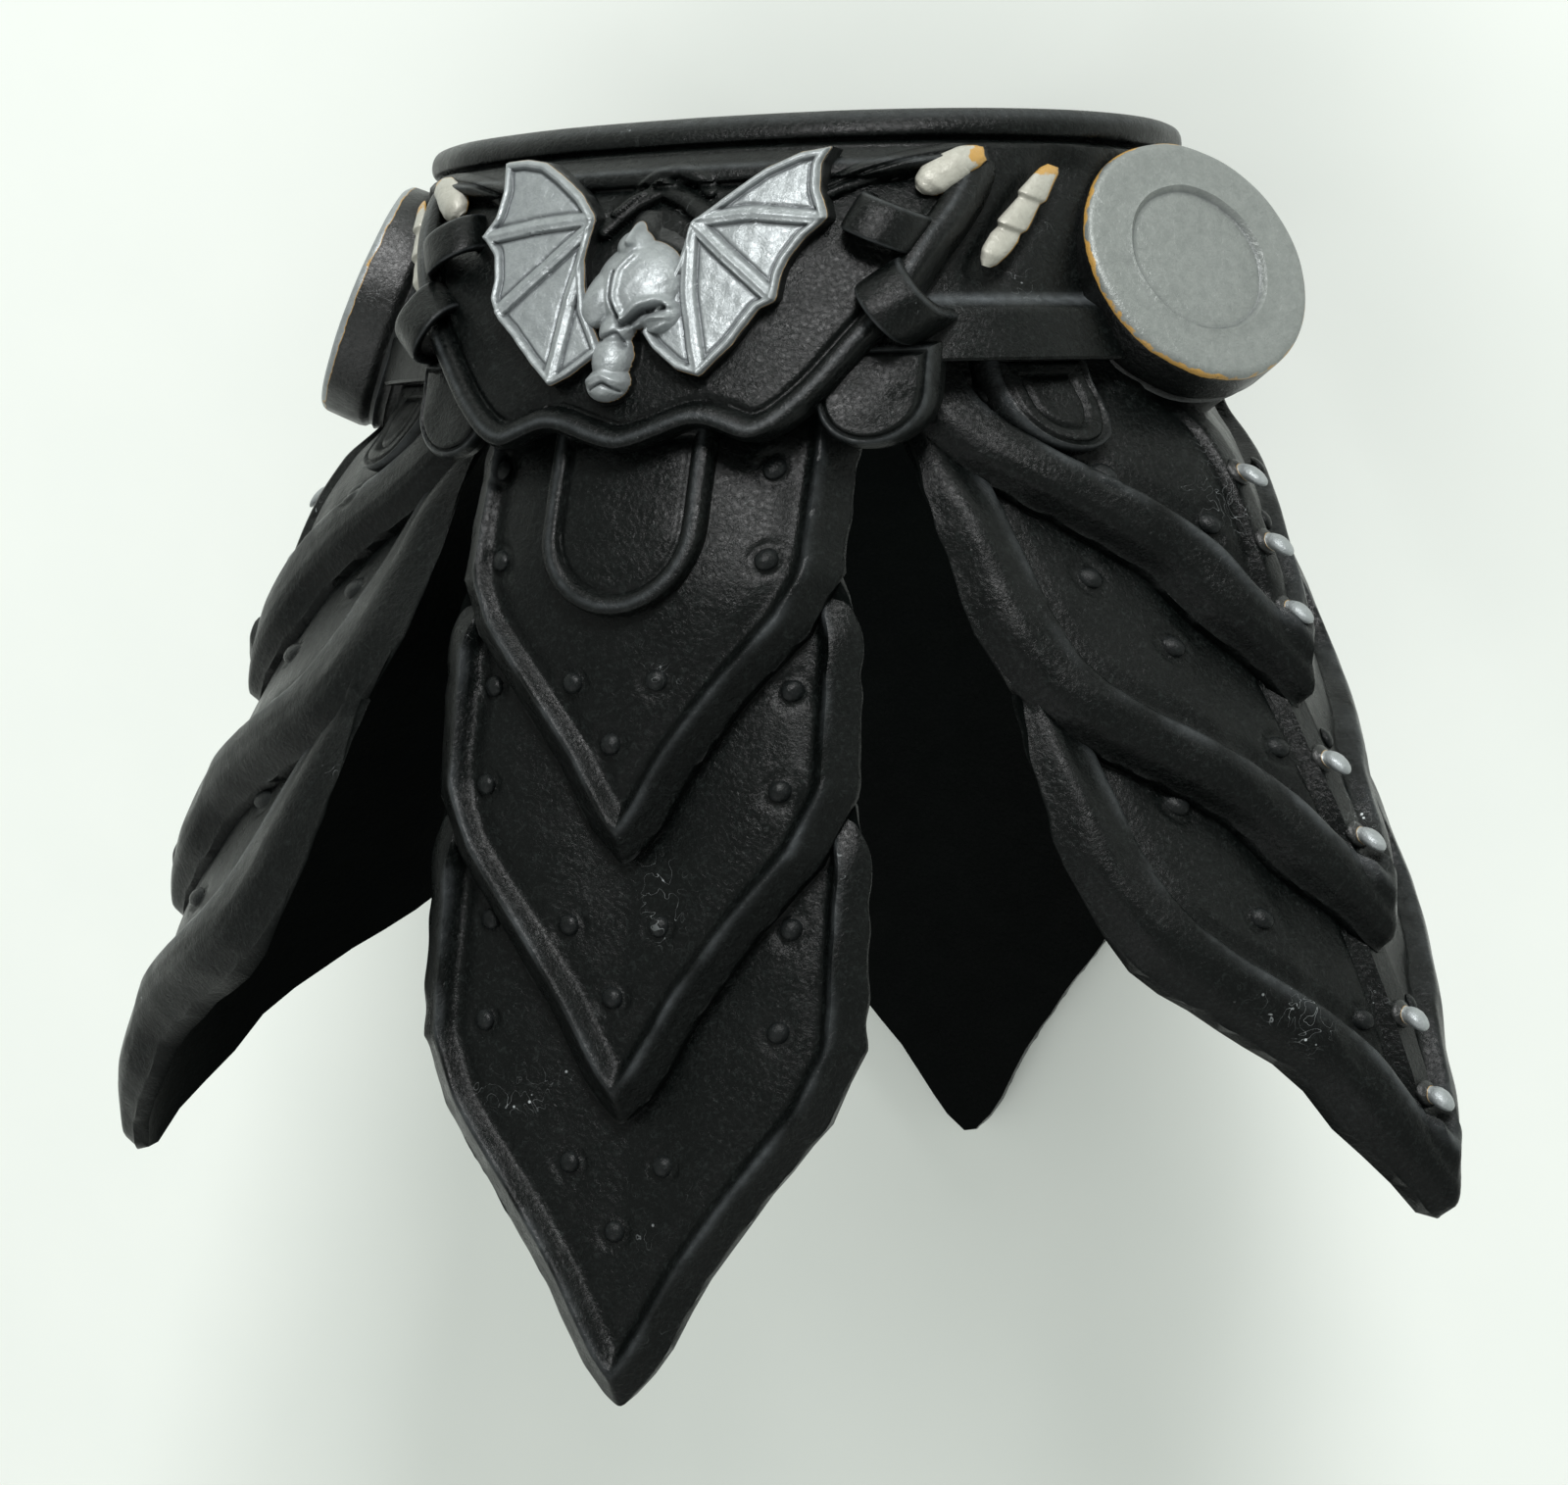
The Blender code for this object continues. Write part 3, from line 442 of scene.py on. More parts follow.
def vinyl_colour(tree, place):
    """Near black and mottled, with pale strokes of painted sheen, crests painted paler as wear and painted
    highlight, and dust and lint in patches; the shaded lame backs stay plain black as painted shade.
    """
    black = mixed(tree, noise(tree, place, 4.0, 5.0), "#020303", "#070a09")
    # 0 on the lame backs: there strokes and dust are left off, so they stay plain black as painted shade.
    unshaded = reckon(tree, "SUBTRACT", 1.0, attribute(tree, "inside"))
    # Pale strokes: the skin's hairline grain, painted in as sheen.
    stroke = noise(tree, place, 0.28, 4.0, Roughness=0.7, Distortion=1.2)
    sheen_stroke_share = reckon(tree, "MULTIPLY", ranged(tree, stroke, 0.52, 0.72), unshaded)
    painted_sheen_strokes = mixed(tree, sheen_stroke_share, black, "#181c1b")
    # Crests painted paler: rubbed wear, and a painted highlight along them.
    rub_and_highlight_share = reckon(tree, "MULTIPLY", attribute(tree, "wear_and_painted_light"), noise(tree, place, 0.5, 4.0))
    rubbed_and_highlit = mixed(tree, rub_and_highlight_share, painted_sheen_strokes, "#6a6f72")
    speck = add_node(tree, "ShaderNodeTexVoronoi", {"Vector": place, "Scale": per_metre(0.9)})
    crumb = ranged(tree, speck.outputs["Distance"], 0.05, 0.08, 0.8, 0.0)
    curl = noise(tree, place, 1.1, 1.0, Distortion=1.6)
    lint = reckon(tree, "MULTIPLY", reckon(tree, "COMPARE", curl, 0.5, 0.003), 0.3)
    patch = ranged(tree, noise(tree, place, 5.0, 3.0), 0.62, 0.72)
    unshaded_patch = reckon(tree, "MULTIPLY", patch, unshaded)
    dust = reckon(tree, "MULTIPLY", reckon(tree, "MAXIMUM", crumb, lint), unshaded_patch)
    return mixed(tree, dust, rubbed_and_highlit, "#c9cfd0")


def vinyl_bump(tree, place):
    """Grain of a satin mould: fine strokes over a slow unevenness."""
    slow = noise(tree, place, 1.6, 2.0)
    fine = noise(tree, place, 0.22, 5.0, Roughness=0.65, Distortion=0.8)
    skin = add_node(tree, "ShaderNodeBump", {
        "Strength": 0.8, "Distance": SKIN_DEPTH * MM, "Height": slow})
    grain = add_node(tree, "ShaderNodeBump", {
        "Strength": 1.0, "Distance": GRAIN_DEPTH * MM, "Height": fine, "Normal": skin.outputs[0]})
    return grain.outputs[0]


def black_vinyl():
    """Soft PVC, satin, so a wide soft sheen over an almost black body."""
    material, tree, shader = new_material("black_soft_vinyl")
    place = object_place(tree)
    tree.links.new(vinyl_colour(tree, place), shader.inputs["Base Color"])
    gloss = ranged(tree, noise(tree, place, 1.2, 4.0), 0.3, 0.7, 0.22, 0.38)
    tree.links.new(gloss, shader.inputs["Roughness"])
    tree.links.new(vinyl_bump(tree, place), shader.inputs["Normal"])
    shader.inputs["IOR"].default_value = VINYL_IOR
    # The lame backs get almost no sheen, as painted shade.
    sheen = ranged(tree, attribute(tree, "inside"), 0.0, 1.0, 0.14, 0.02)
    tree.links.new(sheen, shader.inputs["Specular IOR Level"])
    return material


vinyl = black_vinyl()
print(vinyl.name, "has", len(vinyl.node_tree.nodes), "nodes")

# %% [markdown]
# ## Silver paint over an ochre base
# The bat, the discs, the claws and the spikes are brushed with silver acrylic: grey
# with fine flakes, streaky, and thin enough at some edges to show the ochre coat that
# it was laid over. The sides of each form stay bare black. An attribute, *paint*, is 1
# where the brush went and falls to 0 past the edge, and noise makes its end ragged.
# On a painted piece the same attribute marks the creases instead, painted dark grey as painted shade.

# %% Silver paint


def silver_paint(name, light, dark, metallic, ochre_reach):
    """Painted vinyl: silver where paint is high, ochre in a thin ragged belt, bare vinyl below it."""
    material, tree, shader = new_material(name)
    place = object_place(tree)
    ragged = reckon(tree, "MULTIPLY_ADD", noise(tree, place, 0.8, 5.0), 0.5, -0.25)
    coat = reckon(tree, "ADD", attribute(tree, "paint"), ragged)
    covered = ranged(tree, coat, 0.46, 0.5)
    thick = ranged(tree, coat, 0.5 + ochre_reach, 0.53 + ochre_reach)
    streak = noise(tree, place, 0.45, 6.0, Roughness=0.7, Distortion=0.6)
    brushed = mixed(tree, streak, dark, light)
    # Creases painted dark grey, as painted shade.
    crease_shaded = mixed(tree, attribute(tree, "wear_and_painted_light"), brushed, "#3c4043")
    layered = mixed(tree, thick, "#a5803f", crease_shaded)
    whole = mixed(tree, covered, vinyl_colour(tree, place), layered)
    tree.links.new(whole, shader.inputs["Base Color"])
    tree.links.new(reckon(tree, "MULTIPLY", thick, metallic), shader.inputs["Metallic"])
    gloss = ranged(tree, noise(tree, place, 0.6, 4.0), 0.3, 0.7, 0.3, 0.44)
    tree.links.new(gloss, shader.inputs["Roughness"])
    tree.links.new(vinyl_bump(tree, place), shader.inputs["Normal"])
    return material


silver = silver_paint("silver_paint", "#a3a8a9", "#6f7476", 0.45, 0.02)
disc_paint = silver_paint("disc_silver_paint", "#898d8a", "#5f6462", 0.3, 0.1)
bone = silver_paint("bone_silver_paint", "#b9b8ae", "#858379", 0.15, 0.2)
print("materials:", [vinyl.name, silver.name, disc_paint.name, bone.name])

# %% [markdown]
# ## The waist
# The rim is a rolled band, a little over a millimetre tall, with a groove under it.
# Below, the band bulges forward to carry the belt, and steps out to a ledge over each
# hip. Its plan is a superellipse, the rounded box that a waist opening needs. One
# closed profile, carried once round, makes the rim, the band and the inside together.

# %% Waist
BAND_BOTTOM = 10.5
BAND_WALL = 1.3
BAND_FRONT_DEPTH = 20.2
BAND_REAR_DEPTH = 16.0
BAND_BULGE = 0.8
SECTION_POWER = 2.2
LEDGE_TABLE = [(0.0, 17.1), (0.3, 17.1), (0.752, 17.5), (0.8, 18.5), (1.0, 18.9)]
WAIST_STEPS = 400
GROOVE_INSET = 0.55
UNEVENNESS = 0.06


def band_front(drop):
    """Depth of the band in front: the rim's, plus a bulge that grows as drop to the power 0.8."""
    share = np.maximum(drop, 0.0) / BAND_BOTTOM
    return RIM_DEPTH + (BAND_FRONT_DEPTH - RIM_DEPTH) * share ** BAND_BULGE


def band_rear(drop):
    """Depth of the band behind, a straight flare."""
    return RIM_DEPTH + (BAND_REAR_DEPTH - RIM_DEPTH) * np.maximum(drop, 0.0) / BAND_BOTTOM


def band_side(drop):
    """Half width of the band, with its ledge."""
    return soft_table(LEDGE_TABLE, np.maximum(drop, 0.0) / BAND_BOTTOM, 0.012)


def waist_ring(angle, half_width, front, rear):
    """Superellipse: sine and cosine raised to 2/2.2, deeper in front than behind."""
    power = 2.0 / SECTION_POWER
    across = np.sign(np.sin(angle)) * np.abs(np.sin(angle)) ** power
    along = np.sign(np.cos(angle)) * np.abs(np.cos(angle)) ** power
    return half_width * across, -np.where(along > 0.0, front, rear) * along


# The finger claws lie in hollows of the band, from here to there, across and down.
FINGER_TOP = (14.4, 2.5)
FINGER_FOOT = (12.6, 6.7)
HOLLOW_DEPTH = 0.5
HOLLOW_WIDTH = 0.75


def waist_profile():
    """Closed profile as (inset, drop): rolled rim, groove, outer face, foot, then up the inside."""
    turn = np.linspace(-0.5, 0.5, 13) * math.pi
    roll = 0.5 * RIM_HEIGHT
    rim_outer = [(roll * 0.55 * (1.0 - math.cos(t)), roll + roll * math.sin(t)) for t in turn]
    groove = [(GROOVE_INSET * 0.8, RIM_HEIGHT + 0.05), (GROOVE_INSET, RIM_HEIGHT + 0.15),
              (0.12, RIM_HEIGHT + 0.3)]
    face = [(0.0, drop) for drop in np.linspace(RIM_HEIGHT + 0.42, BAND_BOTTOM - 0.12, 56)]
    foot = [(0.1, BAND_BOTTOM), (BAND_WALL - 0.1, BAND_BOTTOM)]
    inside = [(BAND_WALL, drop) for drop in np.linspace(BAND_BOTTOM - 0.12, RIM_HEIGHT + 0.5, 12)]
    rim_inner = [(RIM_WALL, RIM_HEIGHT), (RIM_WALL, 0.25), (RIM_WALL - 0.2, 0.02), (0.6, 0.0)]
    return np.array(rim_outer + groove + face + foot + inside + rim_inner)


def build_waist():
    """Carry the profile round the waist, and press the claws' hollows and a slight ripple into it."""
    profile = waist_profile()
    inset = profile[:, 0][:, None]
    drop = profile[:, 1][:, None]
    angle = np.linspace(0.0, 2.0 * math.pi, WAIST_STEPS, endpoint=False)[None, :]
    x, y = waist_ring(angle, band_side(drop) - inset, band_front(drop) - inset, band_rear(drop) - inset)
    z = np.broadcast_to(-drop, x.shape).copy()
    reach = np.hypot(x, y)
    outside = (inset < 0.5 * BAND_WALL) & (drop > RIM_HEIGHT + 0.3)
    near = distance_to_line(np.abs(x), -z, [FINGER_TOP, FINGER_FOOT])
    hollow = np.where(y < 0.0, HOLLOW_DEPTH * bell(near, HOLLOW_WIDTH), 0.0)
    uneven = UNEVENNESS * ripple(angle * RIM_HALF_WIDTH, drop, 5.0, 3)
    pull = np.where(outside, hollow - uneven, -uneven * 0.5)
    x = x - x / reach * pull
    y = y - y / reach * pull
    points = np.stack([x, y, z], axis=-1).reshape(-1, 3)
    # The ledge and the rim's crest are painted paler: rubbed wear and a painted highlight.
    ledge = 0.8 * bell(drop, 0.18, 8.0)
    crest = 0.25 * bell(drop, 0.2, 0.25)
    rubbed_and_highlit = np.where(outside | (drop < RIM_HEIGHT), np.maximum(ledge, crest), 0.0)
    faces = [grid_quads(len(profile), WAIST_STEPS, True, True)]
    put_piece("waist", points, faces, vinyl, ["waist_rim", "waist_band"],
              {"wear_and_painted_light": np.broadcast_to(rubbed_and_highlit, x.shape)})


build_waist()

# %% [markdown]
# ## The belt
# A shield-shaped field stands proud of the band. A rounded cord borders it, waves
# along the bottom and turns back over the top as a thinner doubled strap. All of it is
# relief on one plate, so the plate is drawn as a fan: rings of points run from a
# centre out to the outline, and the height of each point follows from its distance to
# the outline and to the lines drawn on the field.

# %% Belt
BELT_CENTRE = -0.3
BELT_HALF_WIDTH = 12.7
BELT_DROP = 13.6
BELT_LIFT = 1.25
BELT_TOP_LIFT = 0.3
CORD_WIDTH = 1.05
CORD_HEIGHT = 0.42
# Shares of the belt's half width and drop, from the middle of its foot round to the side.
BELT_ROUTE = [(0.0, 1.0), (0.12, 0.965), (0.25, 0.915), (0.33, 0.945), (0.42, 0.985), (0.52, 0.94),
              (0.63, 0.84), (0.75, 0.69), (0.82, 0.61), (0.89, 0.49), (0.97, 0.34), (1.0, 0.26)]
BELT_FULL_DROP = 8.4
BAND_HALF_WIDTH = 18.9


def belt_point(across, drop, lift):
    """A point in front of the band: the superellipse solved for depth, pushed out by the lift."""
    share = np.clip(drop / BELT_FULL_DROP, 0.0, 1.0)
    half_width = RIM_HALF_WIDTH + (BAND_HALF_WIDTH - RIM_HALF_WIDTH) * share + lift
    depth = band_front(drop) + lift
    inside = np.clip(1.0 - np.abs(across / half_width) ** SECTION_POWER, 1e-4, 1.0)
    y = -depth * inside ** (1.0 / SECTION_POWER)
    return np.stack(np.broadcast_arrays(across, y, -drop), axis=-1)


def rounded(line, passes):
    """A closed line with its corners rounded: each pass averages every point with its neighbours."""
    for _ in range(passes):
        line = 0.25 * np.roll(line, 1, axis=0) + 0.5 * line + 0.25 * np.roll(line, -1, axis=0)
    return line


def spread_evenly(line, count, closed=False):
    """Points evenly along a line of points, with its corners rounded by three passes of averaging."""
    line = np.array(line, float)
    if closed:
        line = np.concatenate([line, line[:1]])
    length = np.concatenate([[0.0], np.cumsum(np.hypot(*np.diff(line, axis=0).T))])
    place = np.linspace(0.0, length[-1], count + 1 if closed else count)
    even = np.stack([np.interp(place, length, line[:, column]) for column in (0, 1)], axis=1)
    if closed:
        return rounded(even[:-1], 3)
    for _ in range(3):
        even[1:-1] = 0.25 * even[:-2] + 0.5 * even[1:-1] + 0.25 * even[2:]
    return even


WALL_SHARES = np.array([0.2, 0.6, 1.0])


def fan_solid(name, surface, centre, outline, rings, lift, foot, material, nodes):
    """A raised plate: rings from a centre to a closed outline, a wall down to the foot, and a back.

    The lift function gives the height, the mark for wear and painted light, and the paint of every point
    from its place.
    """
    flat = centre + rings[:, None, None] * (outline - centre)[None]
    across, drop = flat[..., 0], flat[..., 1]
    height, wear_and_painted_light, paint = lift(across, drop)
    top = surface(across, drop, height)
    wall_lift = height[-1] + WALL_SHARES[:, None] * (foot - height[-1])
    wall = surface(across[-1], drop[-1], wall_lift)
    middle = np.array([centre[0]]), np.array([centre[1]])
    middle_height, middle_wear_and_light, middle_paint = lift(*middle)
    poles = [surface(*middle, middle_height), surface(*middle, np.array([foot]))]
    points = np.concatenate([top.reshape(-1, 3), wall.reshape(-1, 3), *poles])
    bare = np.zeros(wall_lift.size)
    values = {"wear_and_painted_light": np.concatenate([wear_and_painted_light.ravel(), bare, middle_wear_and_light, [0.0]]),
              "paint": np.concatenate([paint.ravel(), bare, middle_paint, [0.0]])}
    faces = capped_faces(len(rings) + len(WALL_SHARES), len(outline))
    put_piece(name, points, faces, material, nodes, values)


def bead(distance, centre, half_width):
    """A half-round ridge: the square root of one minus the squared distance from its middle line."""
    share = (distance - centre) / half_width
    return np.sqrt(np.clip(1.0 - share ** 2, 0.0, 1.0))


# Lines of relief on the field, then the height and half width of each.
STRAP_LINE = [(12.2, 1.95), (11.4, 1.95), (9.5, 2.35), (8.0, 2.85), (6.5, 3.6)]
STRAP_RELIEF = (0.55, 0.5)
HOOD_LINE = [(-2.3, 4.7), (-1.9, 4.3), (-1.2, 3.7), (-0.1, 3.1), (1.0, 3.6), (1.8, 4.2), (2.1, 4.7)]
HOOD_RELIEF = (0.5, 0.42)
HOOD_BACK = [(-1.9, 3.9), (-1.3, 3.3), (-0.4, 2.6), (0.5, 2.25), (1.2, 2.6), (1.9, 3.3)]
HOOD_BACK_RELIEF = (0.3, 0.35)
OUTLINE_POINTS = 620
OUTLINE_PASSES = 45


def belt_outline():
    """Closed outline of the belt plate: the cord's route, its mirror, and the line under the rim."""
    half = np.array(BELT_ROUTE) * (BELT_HALF_WIDTH, BELT_DROP) + (0.0, 0.3)
    top = np.array([(12.9, 2.6), (12.6, 1.9), (12.0, 1.62), (6.0, 1.6)])
    right = np.concatenate([half, top])
    whole = np.concatenate([right, right[:0:-1] * (-1.0, 1.0)])
    return rounded(spread_evenly(whole, OUTLINE_POINTS, True), OUTLINE_PASSES) + (BELT_CENTRE, 0.0)


belt_edge = belt_outline()


def belt_height(across, drop):
    """Field, plus the cord along the edge, a crease inside it, the hood arch, and the doubled strap."""
    route = np.concatenate([belt_edge, belt_edge[:1]])
    edge = distance_to_line(across, drop, route[::3])
    upper = smooth_step(drop, 1.6, 2.4)
    reach = CORD_WIDTH * (1.0 + 0.35 * (1.0 - smooth_step(drop, 5.0, 8.0)))
    height = BELT_TOP_LIFT + (BELT_LIFT - BELT_TOP_LIFT) * smooth_step(drop, 1.4, 6.5)
    height = height + 0.05 * ripple(across, drop, 4.5, 11)
    cord = bead(edge, 0.5 * reach, 0.5 * reach) * upper
    height = height + CORD_HEIGHT * cord - 0.14 * upper * bell(edge - reach, 0.16, 0.06)
    height = height - 0.35 * (1.0 - smooth_step(edge, 0.0, 0.22)) * upper
    strap = distance_to_line(np.abs(across), drop, STRAP_LINE)
    height = height + STRAP_RELIEF[0] * bead(strap, 0.0, STRAP_RELIEF[1]) - 0.2 * bell(strap, 0.09)
    hood = distance_to_line(across, drop, HOOD_LINE)
    height = height + HOOD_RELIEF[0] * bead(hood, 0.0, HOOD_RELIEF[1]) - 0.1 * bell(hood, 0.12, 0.5)
    hood_back = distance_to_line(across, drop, HOOD_BACK)
    height = height + HOOD_BACK_RELIEF[0] * bead(hood_back, 0.0, HOOD_BACK_RELIEF[1])
    # The cord's crest is painted paler: rubbed wear and a painted highlight.
    wear_and_painted_light = upper * bell(edge, 0.12, 0.5 * reach) * 0.35
    return height, wear_and_painted_light, np.zeros_like(height)


BELT_MIDDLE = np.array([BELT_CENTRE, 6.4])
BELT_FOOT = 0.02
BELT_RINGS = np.concatenate([np.linspace(0.03, 0.8, 42), np.linspace(0.81, 1.0, 40)])
fan_solid("belt", belt_point, BELT_MIDDLE, belt_edge, BELT_RINGS, belt_height, BELT_FOOT,
          vinyl, ["belt_plate", "belt_cord"])

# %% [markdown]
# ## The hanging plates
# Four plates hang from the waist, each of three lames that overlap like shingles. A
# lame's edge is a bevelled border: from the outline it slopes up to a crest, falls
# steeply to a crease, and runs out into the field. So a lame is a grid whose columns
# follow its sides and whose rows follow its pointed lower edge, and its relief is
# looked up by distance to that outline. A closed loop of points runs across the front
# and back again behind, which makes the wall in one go.

# %% Surfaces of the plates
PLATE_TOP = 10.85
FRONT_TOP_DEPTH = 20.0
FRONT_TIP_DEPTH = 27.2
FRONT_TOP_RADIUS = 11.0
FRONT_TIP_RADIUS = 34.0
REAR_RADIUS = 400.0
REAR_SET_IN = 0.5
SIDE_AZIMUTH = math.radians(71)
SIDE_TIP_DROP = 46.1
SIDE_TOP_RADIUS = 19.0
# The soft plates have set differently: radius of the tip, turn about the spine, slopes in
# front of it and behind it, rounding of the ridge. The top of both is like the right plate's,
# and they have set fully by this share of their length.
SIDE_SETTLE = 0.4
SIDE_SHAPES = {1: (32.4, 0.0, 0.55, 0.55, 2.0), -1: (33.8, math.radians(19), 1.3, 1.1, 5.0)}
FRONT_FLARE = [(-0.2, -0.5), (0.0, 0.0), (0.2, 0.5), (1.0, 1.0), (1.2, 1.125)]
SIDE_FLARE = [(0.0, 0.0), (0.13, 0.25), (0.41, 0.54), (0.68, 0.8), (1.0, 1.0)]
# Half width and depth of the superellipse that the side plates' top edge is drawn in to.
SEAT_HALF_WIDTH = 18.6
SEAT_DEPTH = 20.0


def front_point(across, drop, lift):
    """Front plate: a trough, across squared over twice its radius, that leans out and opens."""
    share = (drop - PLATE_TOP) / (PLATE_LENGTH - PLATE_TOP)
    radius = FRONT_TOP_RADIUS + (FRONT_TIP_RADIUS - FRONT_TOP_RADIUS) * np.maximum(share, 0.0)
    depth = FRONT_TOP_DEPTH + (FRONT_TIP_DEPTH - FRONT_TOP_DEPTH) * soft_table(FRONT_FLARE, share, 0.08)
    y = across ** 2 / (2.0 * radius) - depth - lift
    return np.stack(np.broadcast_arrays(across, y, -drop), axis=-1)


def rear_point(across, drop, lift):
    """Rear plate: nearly flat, along the line that the fauld lies on."""
    depth = RIM_DEPTH + math.tan(REST_PITCH) * drop - REAR_SET_IN
    y = depth + lift - across ** 2 / (2.0 * REAR_RADIUS)
    return np.stack(np.broadcast_arrays(across, y, -drop), axis=-1)


def side_point(across, drop, lift, side=1):
    """Side plate: folded along a rounded spine that leans out; its top edge is drawn in to the band."""
    share = (drop - PLATE_TOP) / (SIDE_TIP_DROP - PLATE_TOP)
    settled = smooth_step(share, 0.0, SIDE_SETTLE)
    tip_radius, turn, *shape = SIDE_SHAPES[side]
    spine = SIDE_TOP_RADIUS + (tip_radius - SIDE_TOP_RADIUS) * soft_table(SIDE_FLARE, share, 0.06)
    front_slope, rear_slope, rounding = (
        top + (end - top) * settled for top, end in zip(SIDE_SHAPES[1][2:], shape))
    slope = np.where(across < 0.0, front_slope, rear_slope)
    reach = np.sqrt(across ** 2 + rounding ** 2)
    out = lift * np.sqrt(1.0 + (slope * across / reach) ** 2) - slope * (reach - rounding)
    facing = SIDE_AZIMUTH + turn * settled
    out_x, out_y = np.sin(facing), -np.cos(facing)
    x = spine * math.sin(SIDE_AZIMUTH) + out * out_x - across * out_y
    y = -spine * math.cos(SIDE_AZIMUTH) + out * out_y + across * out_x
    reached = np.abs(x / SEAT_HALF_WIDTH) ** SECTION_POWER + np.abs(y / SEAT_DEPTH) ** SECTION_POWER
    seat = reached ** (1.0 / SECTION_POWER)
    free = smooth_step(drop, BAND_BOTTOM - 0.3, BAND_BOTTOM + 3.2)
    keep = np.where(seat > 1.0, (1.0 + (seat - 1.0) * free) / np.maximum(seat, 1e-6), 1.0)
    return np.stack(np.broadcast_arrays(side * x * keep, y * keep, -drop), axis=-1)


def left_point(across, drop, lift):
    """The left plate's surface: mirrored, with the shape that it has set to."""
    return side_point(across, drop, lift, -1)


# %% Sizes of the lames
# Half width, drop of the corners, drop of the tip.
FRONT_LAMES = {"upper": (8.2, 18.7, 30.0), "middle": (9.0, 27.4, 40.2), "lower": (9.5, 37.2, 51.3)}
SIDE_LAMES = {"upper": (12.4, 13.6, 25.2), "middle": (12.6, 24.0, 35.2), "lower": (12.1, 33.5, 46.1)}
# Outline of the point: share of the half width, share of the drop from the corner to the tip.
FRONT_POINT = [(0.0, 1.0), (0.07, 0.96), (0.17, 0.88), (0.35, 0.66), (0.59, 0.435), (0.87, 0.2),
               (1.0, 0.0)]
SIDE_POINT = [(0.0, 1.0), (0.05, 0.96), (0.12, 0.86), (0.2, 0.77), (0.3, 0.66), (0.37, 0.52),
              (0.43, 0.46), (0.6, 0.32), (0.75, 0.21), (0.88, 0.08), (0.95, -0.06), (1.0, -0.26)]
PLATE_THICKNESS = 1.6
EDGE_THICKNESS = 0.95
LEVEL_STEP = 0.01
LAME_OVERLAP = 2.0
LAME_TUCK = 1.3
# Share of the tuck that is gone where the lames run together at the side edges.
EDGE_JOIN = 0.75
# How softly the side border turns into the foot border, in widths of the border.
CORNER_BLEND = 0.22
# Profile of the border: share of its width from the edge inwards, share of its height.
FRONT_BORDER = [(0.0, -1.5), (0.06, -1.2), (0.3, -0.25), (0.52, 0.7), (0.6, 1.0), (0.67, 0.92),
                (0.8, 0.2), (0.95, -0.45), (1.08, -0.5), (1.45, -0.15), (2.1, 0.0)]
SIDE_BORDER = [(0.0, -1.6), (0.06, -1.2), (0.2, 0.1), (0.34, 0.6), (0.6, 0.95), (0.8, 1.1),
               (0.88, 1.0), (0.95, -0.4), (1.05, -0.4), (1.3, -0.1), (1.8, 0.0)]
# Widths of the border at the side and the foot, its height, and where its crest is rubbed and painted with
# a highlight.
FRONT_STYLE = {"profile": FRONT_BORDER, "side": 1.75, "foot": 1.75, "height": 0.42, "crest": 0.62}
SIDE_STYLE = {"profile": SIDE_BORDER, "side": 2.9, "foot": 2.7, "height": 0.55, "crest": 0.8}
# Rivets, as places across and down each lame.
FRONT_RIVETS = {
    "upper": [(-6.66, 14.36), (-5.98, 18.0), (5.46, 14.56), (5.57, 18.1),
              (-2.1, 22.8), (1.5, 22.7), (-0.4, 25.2)],
    "middle": [(-6.49, 23.1), (-6.48, 27.0), (6.43, 23.3), (6.21, 27.15),
               (-2.37, 32.4), (1.47, 32.4), (-0.4, 35.2)],
    "lower": [(-6.46, 32.5), (-6.38, 36.45), (6.54, 32.6), (6.26, 36.5),
              (-2.32, 41.8), (1.67, 41.8), (-0.3, 44.4)],
}
SIDE_RIVETS = {
    "upper": [(-8.6, 11.9), (-6.2, 15.2), (-2.2, 17.4)],
    "middle": [(-7.2, 19.4), (-5.0, 22.3), (-2.0, 26.6)],
    "lower": [(-6.6, 28.6), (-5.2, 33.2), (-2.0, 37.6)],
}
RIVET_RADIUS = 0.45
RIVET_HEIGHT = 0.34
RIVET_SINK = 0.04
RIVET_SIDES = 14
RIVET_RINGS = np.array([0.3, 0.6, 0.82, 0.95, 1.0])
SPINE_HALF_WIDTH = 0.75
SPINE_HEIGHT = 0.4
SPINE_GROOVE_DEPTH = 0.14
# A shallow moat round each rivet.
MOAT_RADIUS = 0.6
MOAT_DEPTH = 0.1
CREST_WEAR_AND_HIGHLIGHT = 0.4
# How far the foot and the sides stray from their outline.
FOOT_RAG = 0.09
SIDE_RAG = 0.08
EDGE_STEPS = 90
BORDER_BLUR = 0.028
BACK_COLUMNS = 26


def edge_drop(lame, outline, across):
    """Drop of a lame's lower edge: from its corner to its tip by the outline's table."""
    half_width, corner, tip = lame
    share = np.clip(np.abs(across) / half_width, 0.0, 1.0)
    mirrored = [(-s, v) for s, v in outline[:0:-1]] + outline
    return corner + (tip - corner) * soft_table(mirrored, share, 0.03)


def lame_width(lames, place, drop):
    """Half width of a lame at each drop: drawn in under the lame above, full a little below its corner."""
    order = list(lames)
    full = lames[order[place]][0]
    if not place:
        return np.full_like(drop, full)
    above_width, above_corner, _ = lames[order[place - 1]]
    narrow = min(above_width, full) - 0.4
    return narrow + (full - narrow) * smooth_step(drop, above_corner - 0.8, above_corner + 3.0)


